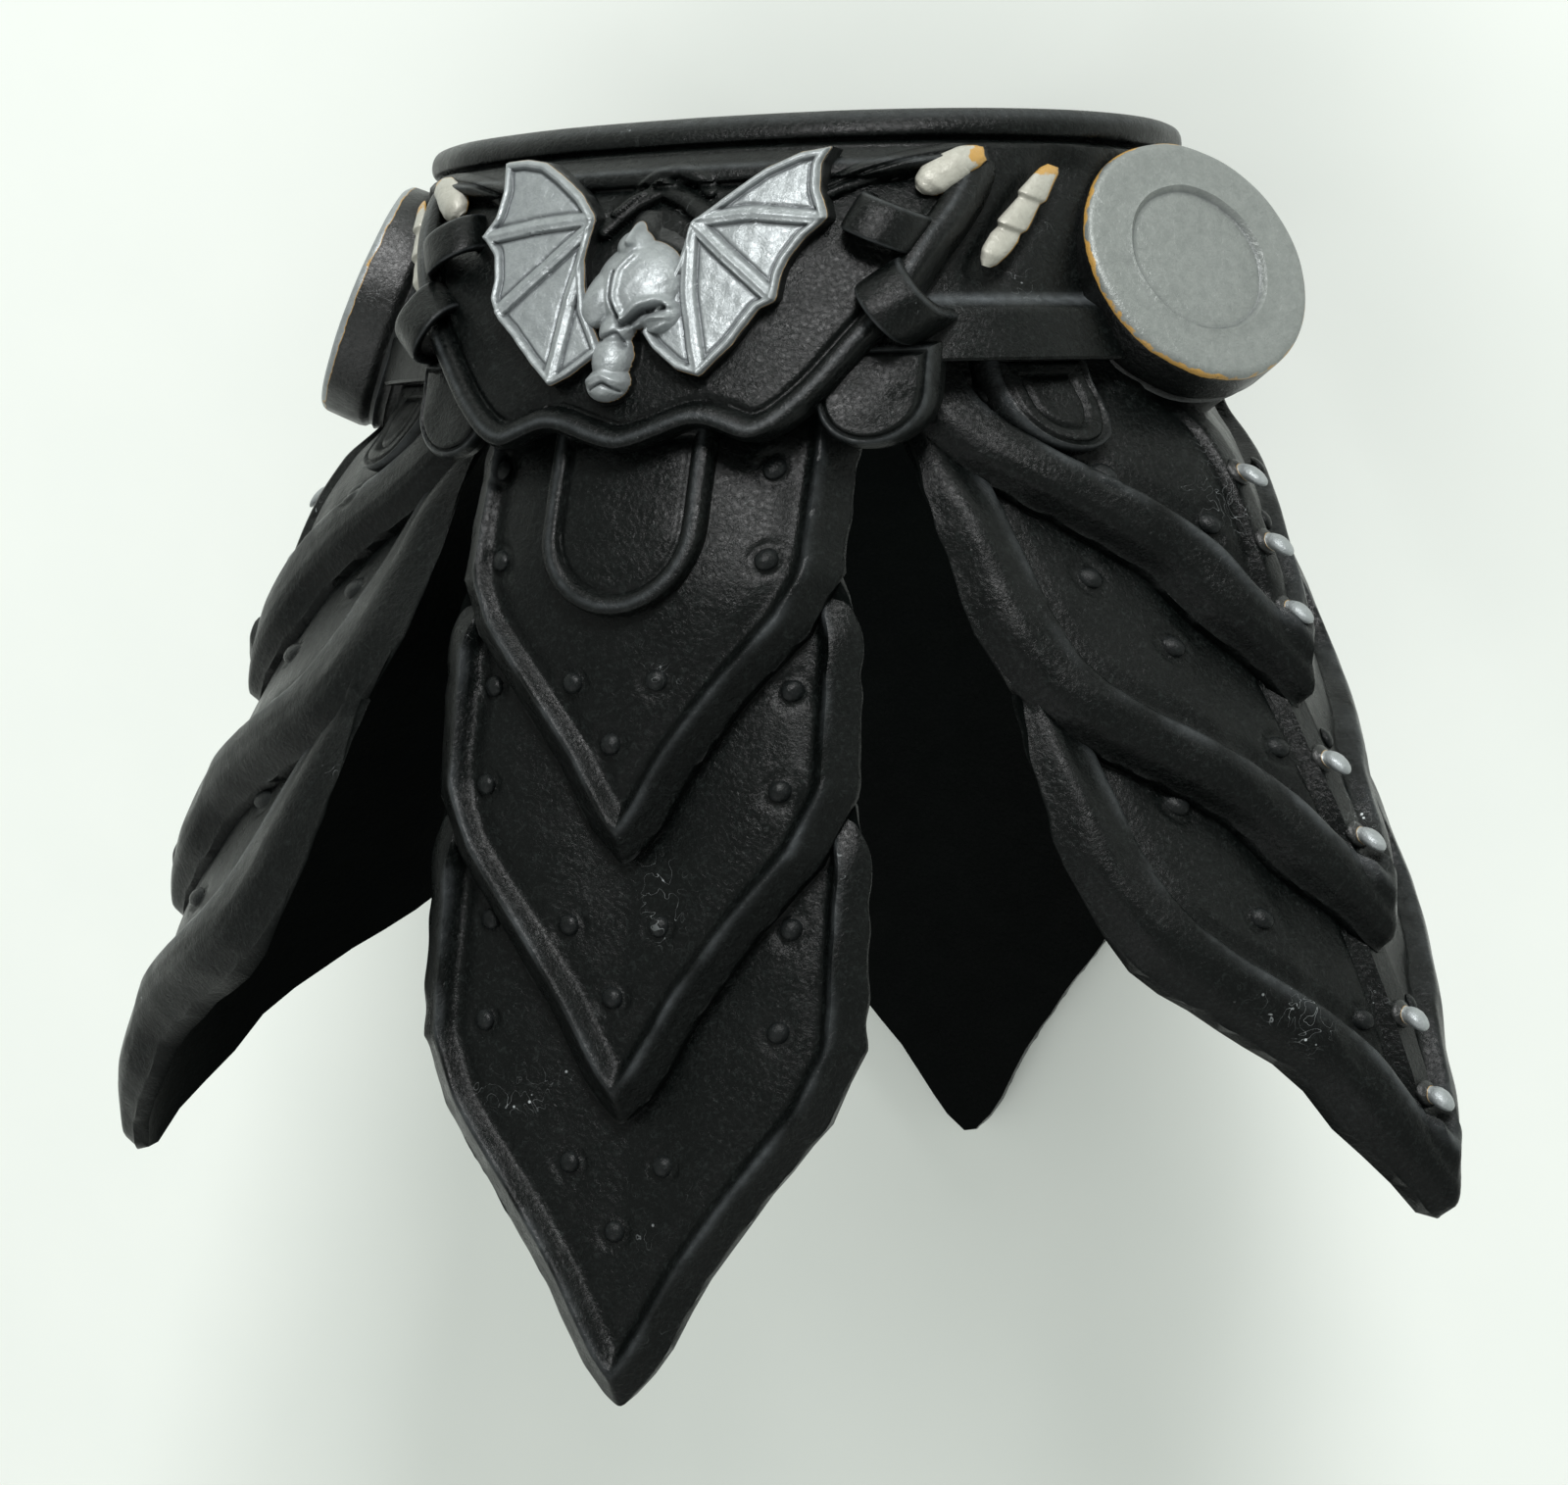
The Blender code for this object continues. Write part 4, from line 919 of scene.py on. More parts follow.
def lame_lift(plate, level, across, drop):
    """Lift of a lame's front: border by distance to the outline, spine, rivet moats, tuck and ripple."""
    lames, outline, style = plate["lames"], plate["outline"], plate["style"]
    order = list(lames)
    place = order.index(level)
    lame = lames[level]
    half_width = lame[0]
    line = np.linspace(-half_width, half_width, EDGE_STEPS)
    foot = distance_to_line(across, drop, np.stack([line, edge_drop(lame, outline, line)], axis=1))
    side = np.maximum(lame_width(lames, place, drop) - np.abs(across), 0.0)
    by_foot = foot / style["foot"]
    by_side = side / style["side"]
    mix = np.clip(0.5 + 0.5 * (by_side - by_foot) / CORNER_BLEND, 0.0, 1.0)
    inward = by_side * (1.0 - mix) + by_foot * mix - 0.5 * CORNER_BLEND * mix * (1.0 - mix)
    near = np.minimum(by_foot, by_side)
    within = smooth_step(near, 0.0, 0.5)
    inward = np.maximum(inward, 0.0) * within + near * (1.0 - within)
    profile = [(-0.2, style["profile"][0][1])] + style["profile"]
    height = style["height"] * soft_table(profile, inward, BORDER_BLUR)
    hidden = np.full_like(drop, PLATE_TOP - 5.0)
    tuck = np.zeros_like(drop)
    bottom = edge_drop(lame, outline, across)
    if place:
        above = lames[order[place - 1]]
        hidden = edge_drop(above, outline, np.clip(across, -above[0], above[0]))
        visible = np.maximum(bottom - hidden - LAME_OVERLAP, 1.0)
        tuck = LAME_TUCK * np.clip(1.0 - (drop - hidden) / visible, 0.0, 1.0)
        tuck = tuck * (1.0 - EDGE_JOIN * smooth_step(np.abs(across) / half_width, 0.82, 0.99))
    shown = smooth_step(drop - hidden, -0.6, 0.1)
    if plate["spine"]:
        beside = np.abs(across)
        strip = 1.0 - smooth_step(beside, SPINE_HALF_WIDTH - 0.12, SPINE_HALF_WIDTH + 0.1)
        grooves = bell(beside, 0.1, 0.95) + 0.8 * bell(beside, 0.1, 1.3)
        below = smooth_step(foot, 1.2, 2.0)
        height = height + (SPINE_HEIGHT * strip - SPINE_GROOVE_DEPTH * grooves) * below
    for spot in plate["rivets"][level]:
        ring = np.hypot(across - spot[0], drop - spot[1])
        height = height - MOAT_DEPTH * bell(ring, 0.16, MOAT_RADIUS)
    height = height + UNEVENNESS * ripple(across, drop, 5.0, plate["seed"] + place)
    # The crest of the border is painted paler: rubbed wear and a painted highlight.
    wear_and_painted_light = bell(inward, 0.1, style["crest"])
    wear_and_painted_light = wear_and_painted_light * np.clip(0.5 + 0.8 * ripple(across, drop, 3.0, plate["seed"] + 7), 0.0, 1.0)
    return height * shown - tuck, wear_and_painted_light * shown * CREST_WEAR_AND_HIGHLIGHT


def build_lame(plate, level):
    """Rows from the tucked top to the ragged lower edge, each a loop across the front and back behind."""
    lames, outline, cell = plate["lames"], plate["outline"], plate["cell"]
    lame = lames[level]
    half_width = lame[0]
    columns = int(2.0 * half_width / cell)
    share = np.linspace(-1.0, 1.0, columns)
    brink = 0.04 / half_width
    share = np.concatenate([[-1.0, -1.0 + brink], share[1:-1], [1.0 - brink, 1.0]])
    across = share * half_width
    bottom = edge_drop(lame, outline, across)
    place = list(lames).index(level)
    if place:
        above = lames[list(lames)[place - 1]]
        hidden = edge_drop(above, outline, np.clip(across, -above[0], above[0]))
        top = hidden - LAME_OVERLAP
    else:
        top = np.full_like(across, BAND_BOTTOM - 0.6)
    rows = int(np.max(bottom - top) / (cell * 1.1))
    rung = np.linspace(0.0, 1.0, rows)
    rung = np.unique(np.concatenate([rung[:-1], [1.0 - 0.02, 1.0 - 0.006, 1.0]]))[:, None]
    rag = FOOT_RAG * ripple(across, bottom, 1.3, plate["seed"] + 20 + place)
    nicks = ripple(across, bottom, 0.6, plate["seed"] + 40 + place)
    rag = rag + FOOT_RAG * np.maximum(nicks - 0.35, 0.0)
    drop = top + rung * (bottom + rag - top)
    side_rag = SIDE_RAG * ripple(drop, 0.0, 1.6, plate["seed"] + 60 + place)
    wide = np.abs(share) ** 8
    plain_across = share * lame_width(lames, place, drop)
    grid_across = plain_across + np.sign(share) * wide * side_rag
    lift, wear_and_painted_light = lame_lift(plate, level, plain_across, np.minimum(drop, bottom))
    front = plate["surface"](grid_across, drop, lift)
    sparse = np.unique(np.round(np.linspace(0, len(across) - 1, BACK_COLUMNS)).astype(int))[::-1]
    thin = (PLATE_THICKNESS - EDGE_THICKNESS) * smooth_step(np.abs(share[sparse]), 0.8, 1.0)
    back_lift = LEVEL_STEP * place - PLATE_THICKNESS + thin
    back = plate["surface"](grid_across[:, sparse], drop[:, sparse], back_lift)
    loop = np.concatenate([front, back], axis=1)
    height, count = loop.shape[:2]
    faces = [grid_quads(height, count, False, True)]
    width = len(across)
    for row in (0, height - 1):
        long_row = row * count + np.arange(width)
        short_row = row * count + np.arange(width, count)[::-1]
        faces.append(strip_triangles(long_row, short_row))
    full_wear_and_light = np.concatenate([wear_and_painted_light, np.zeros(back.shape[:2])], axis=1)
    inside = np.concatenate([np.zeros_like(wear_and_painted_light), np.ones(back.shape[:2])], axis=1)
    word = plate["word"]
    put_piece(f"{word}_plate_{level}", loop.reshape(-1, 3), faces, vinyl,
              [f"{word}_lame_{level}"], {"wear_and_painted_light": full_wear_and_light, "inside": inside}, sharp=50)


def build_rivets(plate):
    """Domes on the lames: rings round each place, raised by the root of one minus radius squared."""
    angle = np.linspace(0.0, 2.0 * math.pi, RIVET_SIDES, endpoint=False)
    ring = RIVET_RINGS[:, None]
    points = []
    faces = []
    mirrors = (1.0, -1.0) if plate["spine"] else (1.0,)
    spots = [(level, mirror * across, drop) for level, places in plate["rivets"].items()
             for across, drop in places for mirror in mirrors]
    for number, (level, middle, low) in enumerate(spots):
        base = float(lame_lift(plate, level, np.array([[middle]]), np.array([[low]]))[0][0, 0])
        across = middle + RIVET_RADIUS * ring * np.cos(angle)
        drop = low + RIVET_RADIUS * ring * np.sin(angle)
        dome = base + RIVET_HEIGHT * np.sqrt(1.0 - ring ** 2) - RIVET_SINK
        pole, sunk = (plate["surface"](np.array(middle), np.array(low), np.array(lift))
                      for lift in (base + RIVET_HEIGHT - RIVET_SINK, base - 0.3))
        rings = plate["surface"](across, drop, dome).reshape(-1, 3)
        points.append(np.concatenate([rings, pole[None], sunk[None]]))
        faces += [block + number * len(points[0]) for block in capped_faces(len(ring), RIVET_SIDES)]
    points = np.concatenate(points)
    # The domes are painted a little paler all over: wear and a painted highlight.
    put_piece(f"{plate['word']}_rivets", points, faces, vinyl, [],
              {"wear_and_painted_light": np.full(len(points), 0.06)}, sharp=60)


# %% Front, rear and side plates
FLAT_PLATE = {"lames": FRONT_LAMES, "outline": FRONT_POINT, "style": FRONT_STYLE,
              "rivets": FRONT_RIVETS, "spine": False}
FOLDED_PLATE = {"lames": SIDE_LAMES, "outline": SIDE_POINT, "style": SIDE_STYLE,
                "rivets": SIDE_RIVETS, "spine": True}
PLATES = {
    "front": {**FLAT_PLATE, "word": "front", "surface": front_point, "cell": 0.15, "seed": 100},
    "rear": {**FLAT_PLATE, "word": "rear", "surface": rear_point, "cell": 0.22, "seed": 200},
    "left": {**FOLDED_PLATE, "word": "left", "surface": left_point, "cell": 0.17, "seed": 300},
    "right": {**FOLDED_PLATE, "word": "right", "surface": side_point, "cell": 0.17, "seed": 400},
}
for plate in PLATES.values():
    for level in plate["lames"]:
        build_lame(plate, level)
    build_rivets(plate)

# %% [markdown]
# ## Tongue and tabs
# A tongue lies on the top of the front plate, and round tabs peep out beside the belt
# and under the discs. Each has a raised rim and a sunken middle, so each is the same
# fan as the belt, with a ridge or grooves at set distances inside the outline.

# %% Tongue and tabs


def round_tab(centre, half_width, top, bottom):
    """Outline of a tab: straight sides from the top, closed by a half circle below."""
    turn = np.linspace(0.0, math.pi, 60)
    middle = bottom - half_width
    arc = np.stack([half_width * np.cos(turn), middle + half_width * np.sin(turn)], axis=1)
    line = np.concatenate([[(half_width, top)], arc, [(-half_width, top)]])
    return spread_evenly(line, 260, True) + (centre, 0.0)


def rimmed(outline, rise, rim, seed):
    """Lift of a rimmed tab: a bead along the outline, a crease inside it, and a flat middle."""
    line = np.concatenate([outline, outline[:1]])[::2]

    def lift(across, drop):
        edge = distance_to_line(across, drop, line)
        height = rise + 0.28 * bead(edge, 0.5 * rim, 0.5 * rim) - 0.1 * bell(edge - rim, 0.14, 0.08)
        height = height - 0.25 * (1.0 - smooth_step(edge, 0.0, 0.16))
        height = height + 0.03 * ripple(across, drop, 2.5, seed)
        # The rim's bead is painted paler: rubbed wear and a painted highlight.
        return height, 0.3 * bell(edge, 0.12, 0.55 * rim), np.zeros_like(height)

    return lift


def grooved(outline, rise, lines, seed):
    """A flat disc with a rounded edge and narrow grooves at the given distances inside its outline."""
    route = np.concatenate([outline, outline[:1]])[::2]

    def lift(across, drop):
        edge = distance_to_line(across, drop, route)
        height = rise * (1.0 - (1.0 - np.clip(edge / 0.4, 0.0, 1.0)) ** 2)
        for line in lines:
            height = height - 0.16 * bell(edge, 0.09, line)
        height = height + 0.04 * ripple(across, drop, 1.5, seed)
        # The rounded edge is painted paler: rubbed wear and a painted highlight.
        return height, 0.3 * bell(edge, 0.1, 0.25), np.zeros_like(height)

    return lift


TAB_RINGS = np.concatenate([np.linspace(0.08, 0.6, 12), np.linspace(0.64, 1.0, 22)])
# Place across, half width, drop of the top, drop of the bottom; then the drop of the fan's middle.
TONGUE = (-0.25, 3.5, 12.4, 20.2)
TONGUE_MIDDLE = 16.4
BELT_TAB = (9.15, 2.2, 9.7, 13.9)
BELT_TAB_MIDDLE = 11.7
HIP_TAB = (-6.75, 2.15, 10.0, 14.4)
HIP_TAB_MIDDLE = 12.3
tongue_edge = round_tab(*TONGUE)
fan_solid("tongue", front_point, np.array([TONGUE[0], TONGUE_MIDDLE]), tongue_edge, TAB_RINGS,
          rimmed(tongue_edge, 0.5, 0.85, 5), -0.2, vinyl, ["front_tongue"])
hip_edge = round_tab(*HIP_TAB)
for side, word, hip_surface in ((-1, "left", left_point), (1, "right", side_point)):
    tab_edge = round_tab(side * BELT_TAB[0], *BELT_TAB[1:])
    fan_solid(f"belt_tab_{word}_rimmed", belt_point, np.array([side * BELT_TAB[0], BELT_TAB_MIDDLE]),
              tab_edge, TAB_RINGS, grooved(tab_edge, 0.62, (0.42,), 6), -0.6,
              vinyl, [f"belt_tab_{word}"])
    fan_solid(f"hip_tab_{word}_rimmed", hip_surface, np.array([HIP_TAB[0], HIP_TAB_MIDDLE]),
              hip_edge, TAB_RINGS, grooved(hip_edge, 0.85, (0.5, 1.15), 8), -0.3,
              vinyl, [f"hip_tab_{word}"])

# %% [markdown]
# ## Hip discs
# A disc is turned work: a profile carried round its own axis. The face has a shallow
# recess, and is painted; the wall is black, with a double groove between the cap and
# its base. Each line of the base runs inwards along the axis until it has sunk into
# the band or the plate, so no end shows.

# %% Hubs
HUB_SIDE = 19.6
HUB_FRONT = 6.2
HUB_DROP = 6.3
# The left disc has turned to face further out than the right one.
HUB_AZIMUTHS = {1: math.radians(50), -1: math.radians(70)}
HUB_TILT = math.radians(24)
HUB_BASE_RADIUS = 5.35
HUB_TURNS = 200
# Radius and height of the face and of the wall, and the rings of the base below it.
HUB_FACE = [(1.0, -0.2), (2.0, -0.19), (3.0, -0.2), (3.14, -0.23), (3.22, -0.2), (3.32, -0.06),
            (3.42, 0.03), (3.55, 0.0), (4.2, -0.02), (4.8, 0.0), (5.2, -0.02), (5.38, -0.06),
            (5.48, -0.16), (5.54, -0.3)]
HUB_WALL = [(5.56, -0.6), (5.58, -1.2), (5.6, -1.9), (5.55, -2.15), (5.42, -2.27), (5.36, -2.4),
            (5.42, -2.55), (5.5, -2.62), (5.4, -2.75), (5.36, -2.9), (5.4, -3.1)]
HUB_SUNK = 0.2
PAINT_FOOT = -0.35
BASE_RINGS = 14
BASE_TOP = 3.1
BASE_BOTTOM = 9.0
# The base is felt for the body down its axis, this far and in these steps.
FEELER_REACH = 13.0
FEELER_STEP = 0.05
BAND_MARGIN = 0.6
PLATE_MARGIN = 0.5


def inside_body(points):
    """Whether worn points lie within the band, or behind the side plate's face, by half a millimetre."""
    x, y, drop = np.abs(points[..., 0]), points[..., 1], -points[..., 2]
    depth = np.where(y < 0.0, band_front(drop), band_rear(drop)) - BAND_MARGIN
    half_width = band_side(drop) - BAND_MARGIN
    band = (x / half_width) ** SECTION_POWER + np.abs(y / depth) ** SECTION_POWER
    out_x, out_y = math.sin(SIDE_AZIMUTH), -math.cos(SIDE_AZIMUTH)
    across = -x * out_y + y * out_x
    radius = x * out_x + y * out_y
    face = side_point(across, drop, -PLATE_MARGIN)
    plate_radius = face[..., 0] * out_x + face[..., 1] * out_y
    in_band = (band < 1.0) & (drop < BAND_BOTTOM)
    return in_band | ((drop >= BAND_BOTTOM - 0.3) & (radius < plate_radius))


def build_hub(side, word):
    """Turn the face, the wall and the base about the disc's axis, from the pole outwards, then inwards."""
    azimuth = HUB_AZIMUTHS[side]
    axis = np.array([math.sin(azimuth) * math.cos(HUB_TILT), -math.cos(azimuth) * math.cos(HUB_TILT),
                     math.sin(HUB_TILT)])
    centre = np.array([HUB_SIDE, -HUB_FRONT, -HUB_DROP])
    level = np.cross((0.0, 0.0, 1.0), axis)
    level /= np.linalg.norm(level)
    upright = np.cross(axis, level)
    turn = np.linspace(0.0, 2.0 * math.pi, HUB_TURNS, endpoint=False)
    spoke = np.cos(turn)[:, None] * level + np.sin(turn)[:, None] * upright
    profile = np.array(HUB_FACE + HUB_WALL)
    out, up = profile[:, 0][:, None], profile[:, 1][:, None]
    wobble = 1.0 + 0.006 * ripple(np.cos(turn) * 5.0, np.sin(turn) * 5.0, 3.0, 9)
    radius = out * wobble
    height = up + 0.02 * ripple(radius * np.cos(turn), radius * np.sin(turn), 2.0, 4)
    rings = centre + radius[..., None] * spoke + height[..., None] * axis
    depth = np.arange(BASE_TOP, FEELER_REACH, FEELER_STEP)
    feelers = centre + HUB_BASE_RADIUS * spoke[None] - depth[:, None, None] * axis
    hit = inside_body(feelers)
    first = rounded(np.where(hit.any(axis=0), depth[np.argmax(hit, axis=0)], BASE_BOTTOM), 4)
    run = np.linspace(0.06, 1.0, BASE_RINGS)[:, None]
    base_depth = BASE_TOP + run * (first - BASE_TOP)
    base = centre + HUB_BASE_RADIUS * wobble[None, :, None] * spoke - base_depth[..., None] * axis
    poles = [centre - HUB_SUNK * axis, centre - first.mean() * axis]
    points = np.concatenate([rings.reshape(-1, 3), base.reshape(-1, 3), poles]) * (side, 1.0, 1.0)
    bare = np.zeros(BASE_RINGS * HUB_TURNS)
    painted = np.where(up > PAINT_FOOT, 1.0, 0.0) * (1.0 - 0.46 * smooth_step(radius, 5.1, 5.6))
    # The edge of the face's recess is painted dark, as painted shade; on the bare wall the mark at the
    # groove paints the vinyl paler, as wear and painted highlight.
    groove = (0.55 * bell(out, 0.07, 3.2) + 0.4 * bell(up, 0.06, -2.62)) * np.ones(HUB_TURNS)
    values = {"paint": np.concatenate([painted.ravel(), bare, [1.0, 0.0]]),
              "wear_and_painted_light": np.concatenate([groove.ravel(), bare, [0.0, 0.0]])}
    put_piece(f"hub_{word}", points, capped_faces(len(profile) + BASE_RINGS, HUB_TURNS),
              disc_paint if side > 0 else silver,
              [f"hub_cap_{word}", f"hub_base_{word}"], values)


for side, word in ((-1, "left"), (1, "right")):
    build_hub(side, word)

# %% [markdown]
# ## Belt keepers
# Each keeper is a flat loop of strap that arches over the belt. Its path is half of a
# squared ellipse, from one foot over the top to the other, and a rounded bar is carried
# along it.

# %% Keepers
# Place across, drop, tilt, width and reach.
LOWER_KEEPER = (10.45, 8.1, math.radians(-52), 1.95, 1.3)
UPPER_KEEPER = (9.6, 4.95, math.radians(-24), 1.65, 1.25)
# Lift of the two feet of each.
LOWER_FEET = (0.7, 0.0)
UPPER_FEET = (0.6, 0.6)
KEEPER_THICKNESS = 0.6
KEEPER_TOP = 2.4
KEEPER_STEPS = 48
KEEPER_SIDES = 32


def build_keeper(name, side, keeper, feet, node):
    """Carry a squared ring along the arch: cosine across, sine to the power 0.55 for the lift."""
    middle, drop, tilt, width, reach = keeper
    turn = np.linspace(math.pi, 0.0, KEEPER_STEPS)
    step = reach * np.cos(turn)
    foot = np.where(step < 0.0, feet[0], feet[1])
    lift = foot + (KEEPER_TOP - foot) * np.sin(turn).clip(0.0, 1.0) ** 0.55
    along = np.gradient(np.stack([step, lift], axis=1), axis=0)
    along /= np.linalg.norm(along, axis=1)[:, None]
    ring = np.linspace(0.0, 2.0 * math.pi, KEEPER_SIDES, endpoint=False)
    flat = np.sign(np.cos(ring)) * np.abs(np.cos(ring)) ** 0.35 * 0.5 * width
    thick = np.sign(np.sin(ring)) * np.abs(np.sin(ring)) ** 0.5 * 0.5 * KEEPER_THICKNESS
    rise = lift[:, None] + along[:, 0][:, None] * thick
    shift = step[:, None] - along[:, 1][:, None] * thick
    across = middle + BELT_CENTRE * side + shift * math.cos(tilt) - flat * math.sin(tilt)
    down = drop - shift * math.sin(tilt) - flat * math.cos(tilt)
    rise = rise + 0.03 * ripple(across, down, 1.5, 12)
    points, faces = capped_tube(belt_point(across, down, rise) * (side, 1.0, 1.0))
    # The outer edges are painted paler: rubbed wear and a painted highlight.
    edge = bell(np.abs(flat) / (0.5 * width), 0.06, 0.93) * np.where(np.sin(ring) > 0.1, 0.3, 0.0)
    wear_and_painted_light = np.concatenate([np.tile(edge, KEEPER_STEPS), [0.0, 0.0]])
    put_piece(name, points, faces, vinyl, [node], {"wear_and_painted_light": wear_and_painted_light}, sharp=50)


for side, word in ((-1, "left"), (1, "right")):
    build_keeper(f"keeper_{word}_lower_loop", side, LOWER_KEEPER, LOWER_FEET, f"keeper_{word}_lower")
    build_keeper(f"keeper_{word}_upper_loop", side, UPPER_KEEPER, UPPER_FEET, f"keeper_{word}_upper")

# %% [markdown]
# ## Claws
# A curled horn lies in the bend of the strap, and a finger of three joints beside it.
# Both are rings carried along a short path on the band, swelling and narrowing as the
# tables say. Only their upper sides are painted.

# %% Claws
CLAW_STEPS = 64
CLAW_SIDES = 28
HORN = {
    "path": [(12.3, 2.1), (11.6, 2.35), (10.9, 2.9), (10.15, 3.6)],
    "swell": [(0.0, 0.4), (0.08, 0.62), (0.25, 0.82), (0.5, 0.98), (0.75, 1.0), (0.92, 0.72), (1.0, 0.3)],
    "radius": 0.75, "lift": 0.75, "blur": 0.05,
}
HORN["rise"] = HORN["swell"]
FINGER = {
    "path": [FINGER_TOP, (13.6, 4.4), FINGER_FOOT],
    "swell": [(0.0, 0.35), (0.05, 0.62), (0.22, 0.85), (0.31, 0.95), (0.35, 0.74), (0.45, 0.88),
              (0.6, 1.05), (0.645, 0.8), (0.72, 0.96), (0.86, 0.86), (0.96, 0.6), (1.0, 0.3)],
    "rise": [(0.0, 0.2), (0.05, 0.5), (0.3, 1.0), (0.345, 0.55), (0.6, 1.1), (0.645, 0.6),
             (0.88, 1.1), (1.0, 0.4)],
    "radius": 0.54, "lift": 0.1, "blur": 0.012,
}


def build_claw(name, side, claw, node):
    """Rings along a path on the band, as wide as the swell and as tall as the rise."""
    line = spread_evenly(claw["path"], CLAW_STEPS)
    share = np.linspace(0.0, 1.0, CLAW_STEPS)
    run = np.gradient(line, axis=0)
    run /= np.linalg.norm(run, axis=1)[:, None]
    turn = np.linspace(0.0, 2.0 * math.pi, CLAW_SIDES, endpoint=False)
    wide = claw["radius"] * soft_table(claw["swell"], share, claw["blur"])[:, None] * np.cos(turn)
    tall = claw["radius"] * soft_table(claw["rise"], share, claw["blur"])[:, None] * np.sin(turn)
    across = line[:, 0][:, None] - run[:, 1][:, None] * wide
    drop = line[:, 1][:, None] + run[:, 0][:, None] * wide
    height = claw["lift"] + tall + 0.03 * ripple(across, drop, 0.8, 31)
    points, faces = capped_tube(belt_point(across, drop, height) * (side, 1.0, 1.0))
    brushed = 0.62 + 0.4 * smooth_step(share, 0.0, 0.35)
    upper = smooth_step(np.sin(turn), -0.35, 0.5)[None, :] * brushed[:, None]
    paint = np.concatenate([upper.ravel(), [0.45, 0.6]])
    put_piece(name, points, faces, bone, [node], {"paint": paint}, sharp=60)


for side, word in ((-1, "left"), (1, "right")):
    build_claw(f"horn_{word}", side, HORN, f"horn_claw_{word}")
    build_claw(f"finger_{word}", side, FINGER, f"finger_claw_{word}")

# %% [markdown]
# ## The bat
# A bat with spread wings is an old figure of heraldry and gothic ornament. A wing is a
# fan from the wrist: raised ribs and edges, with the membrane sunk between them. The
# head is a relief: bumps, cones and ridges laid over each other, the highest one
# showing at each point, cut off where they sink below the belt.

# %% Wings
WING_LIFT = 2.15
MEMBRANE_SUNK = 0.16
WING_FOOT = 0.6
WING_OUTLINES = {
    "right": [(1.79, 4.62), (3.1, 3.6), (4.5, 2.55), (5.8, 1.95), (7.04, 1.75), (6.72, 2.5),
              (6.8, 3.5), (7.3, 4.73), (6.5, 5.5), (5.95, 6.4), (5.78, 6.92), (5.69, 8.01),
              (5.07, 8.3), (4.16, 9.7), (3.03, 10.92), (2.0, 10.6), (0.9, 9.75), (0.35, 9.05),
              (1.0, 7.6), (1.5, 6.2)],
    "left": [(-2.42, 4.28), (-3.2, 3.3), (-4.3, 2.4), (-5.3, 1.75), (-6.3, 1.55), (-7.48, 1.57),
             (-7.2, 2.9), (-7.35, 3.9), (-7.95, 4.75), (-7.1, 5.6), (-6.85, 6.6), (-6.9, 7.4),
             (-6.37, 8.29), (-5.54, 9.0), (-4.4, 10.2), (-3.4, 11.1), (-2.6, 10.75), (-1.2, 9.75),
             (-2.2, 8.0), (-2.6, 6.0), (-2.55, 5.28)],
}
WING_RIBS = {
    "right": [[(1.79, 4.62), (4.2, 4.4), (7.2, 4.75)], [(1.79, 4.62), (3.6, 6.2), (5.6, 7.9)],
              [(1.79, 4.62), (2.1, 7.6), (3.0, 10.8)]],
    "left": [[(-2.42, 4.28), (-5.0, 4.45), (-7.8, 4.8)], [(-2.42, 4.5), (-4.6, 6.4), (-6.6, 8.1)],
             [(-2.42, 4.7), (-3.0, 7.5), (-3.4, 10.9)]],
}


def wing_lift(word):
    """Lift of a wing: sunk membrane, raised frame within a third of a millimetre of each rib and edge."""
    outline = spread_evenly(WING_OUTLINES[word], 420, True)
    line = np.concatenate([outline, outline[:1]])[::2]
    ribs = [spread_evenly(rib, 30) for rib in WING_RIBS[word]]

    def lift(across, drop):
        edge = distance_to_line(across, drop, line)
        rib = np.minimum.reduce([distance_to_line(across, drop, points) for points in ribs])
        frame_edge = 1.0 - smooth_step(edge, 0.3, 0.42)
        frame_rib = 1.0 - smooth_step(rib, 0.22, 0.34)
        height = WING_LIFT - MEMBRANE_SUNK + MEMBRANE_SUNK * np.maximum(frame_edge, frame_rib)
        height = height + 0.09 * bell(rib, 0.1) + 0.07 * bell(edge, 0.08, 0.2)
        crease = bell(edge, 0.07, 0.45) * (rib > 0.3) + bell(rib, 0.07, 0.37) * (edge > 0.3)
        crease = np.clip(crease, 0.0, 1.0)
        height = height - 0.07 * crease
        height = height - 0.3 * (1.0 - smooth_step(edge, 0.0, 0.12)) + 0.02 * ripple(across, drop, 0.7, 17)
        height = height + 0.04 * ripple(across, drop, 2.5, 18)
        # The creases beside the ribs and edges are also painted dark grey, as painted shade.
        return height, 0.75 * crease, 0.35 + 0.65 * smooth_step(edge, 0.0, 0.1)

    return outline, lift


WING_RINGS = np.concatenate([np.linspace(0.03, 0.8, 50), np.linspace(0.81, 1.0, 30)])
WING_CENTRES = {"right": (3.3, 6.2), "left": (-4.3, 6.2)}
for word in ("left", "right"):
    wing_edge, wing_height = wing_lift(word)
    fan_solid(f"wing_{word}", belt_point, np.array(WING_CENTRES[word]), wing_edge, WING_RINGS,
              wing_height, WING_FOOT, silver, [f"bat_wing_{word}"])


# %% Head and body
def mound(across, drop, centre, radii, height, turn=0.0):
    """A half ellipsoid: height times the root of one minus the squared distance, turned in the plane."""
    x, z = across - centre[0], drop - centre[1]
    c, s = math.cos(turn), math.sin(turn)
    u = (x * c + z * s) / radii[0]
    v = (-x * s + z * c) / radii[1]
    dome = height * np.sqrt(np.clip(1.0 - u * u - v * v, 0.0, 1.0))
    return dome - 0.6 * np.clip(u * u + v * v - 1.0, 0.0, 1.0)


def fold(across, drop, line, width, height):
    """A soft ridge along a line: height times a bell of the distance."""
    return height * bell(distance_to_line(across, drop, spread_evenly(line, 24)), width)


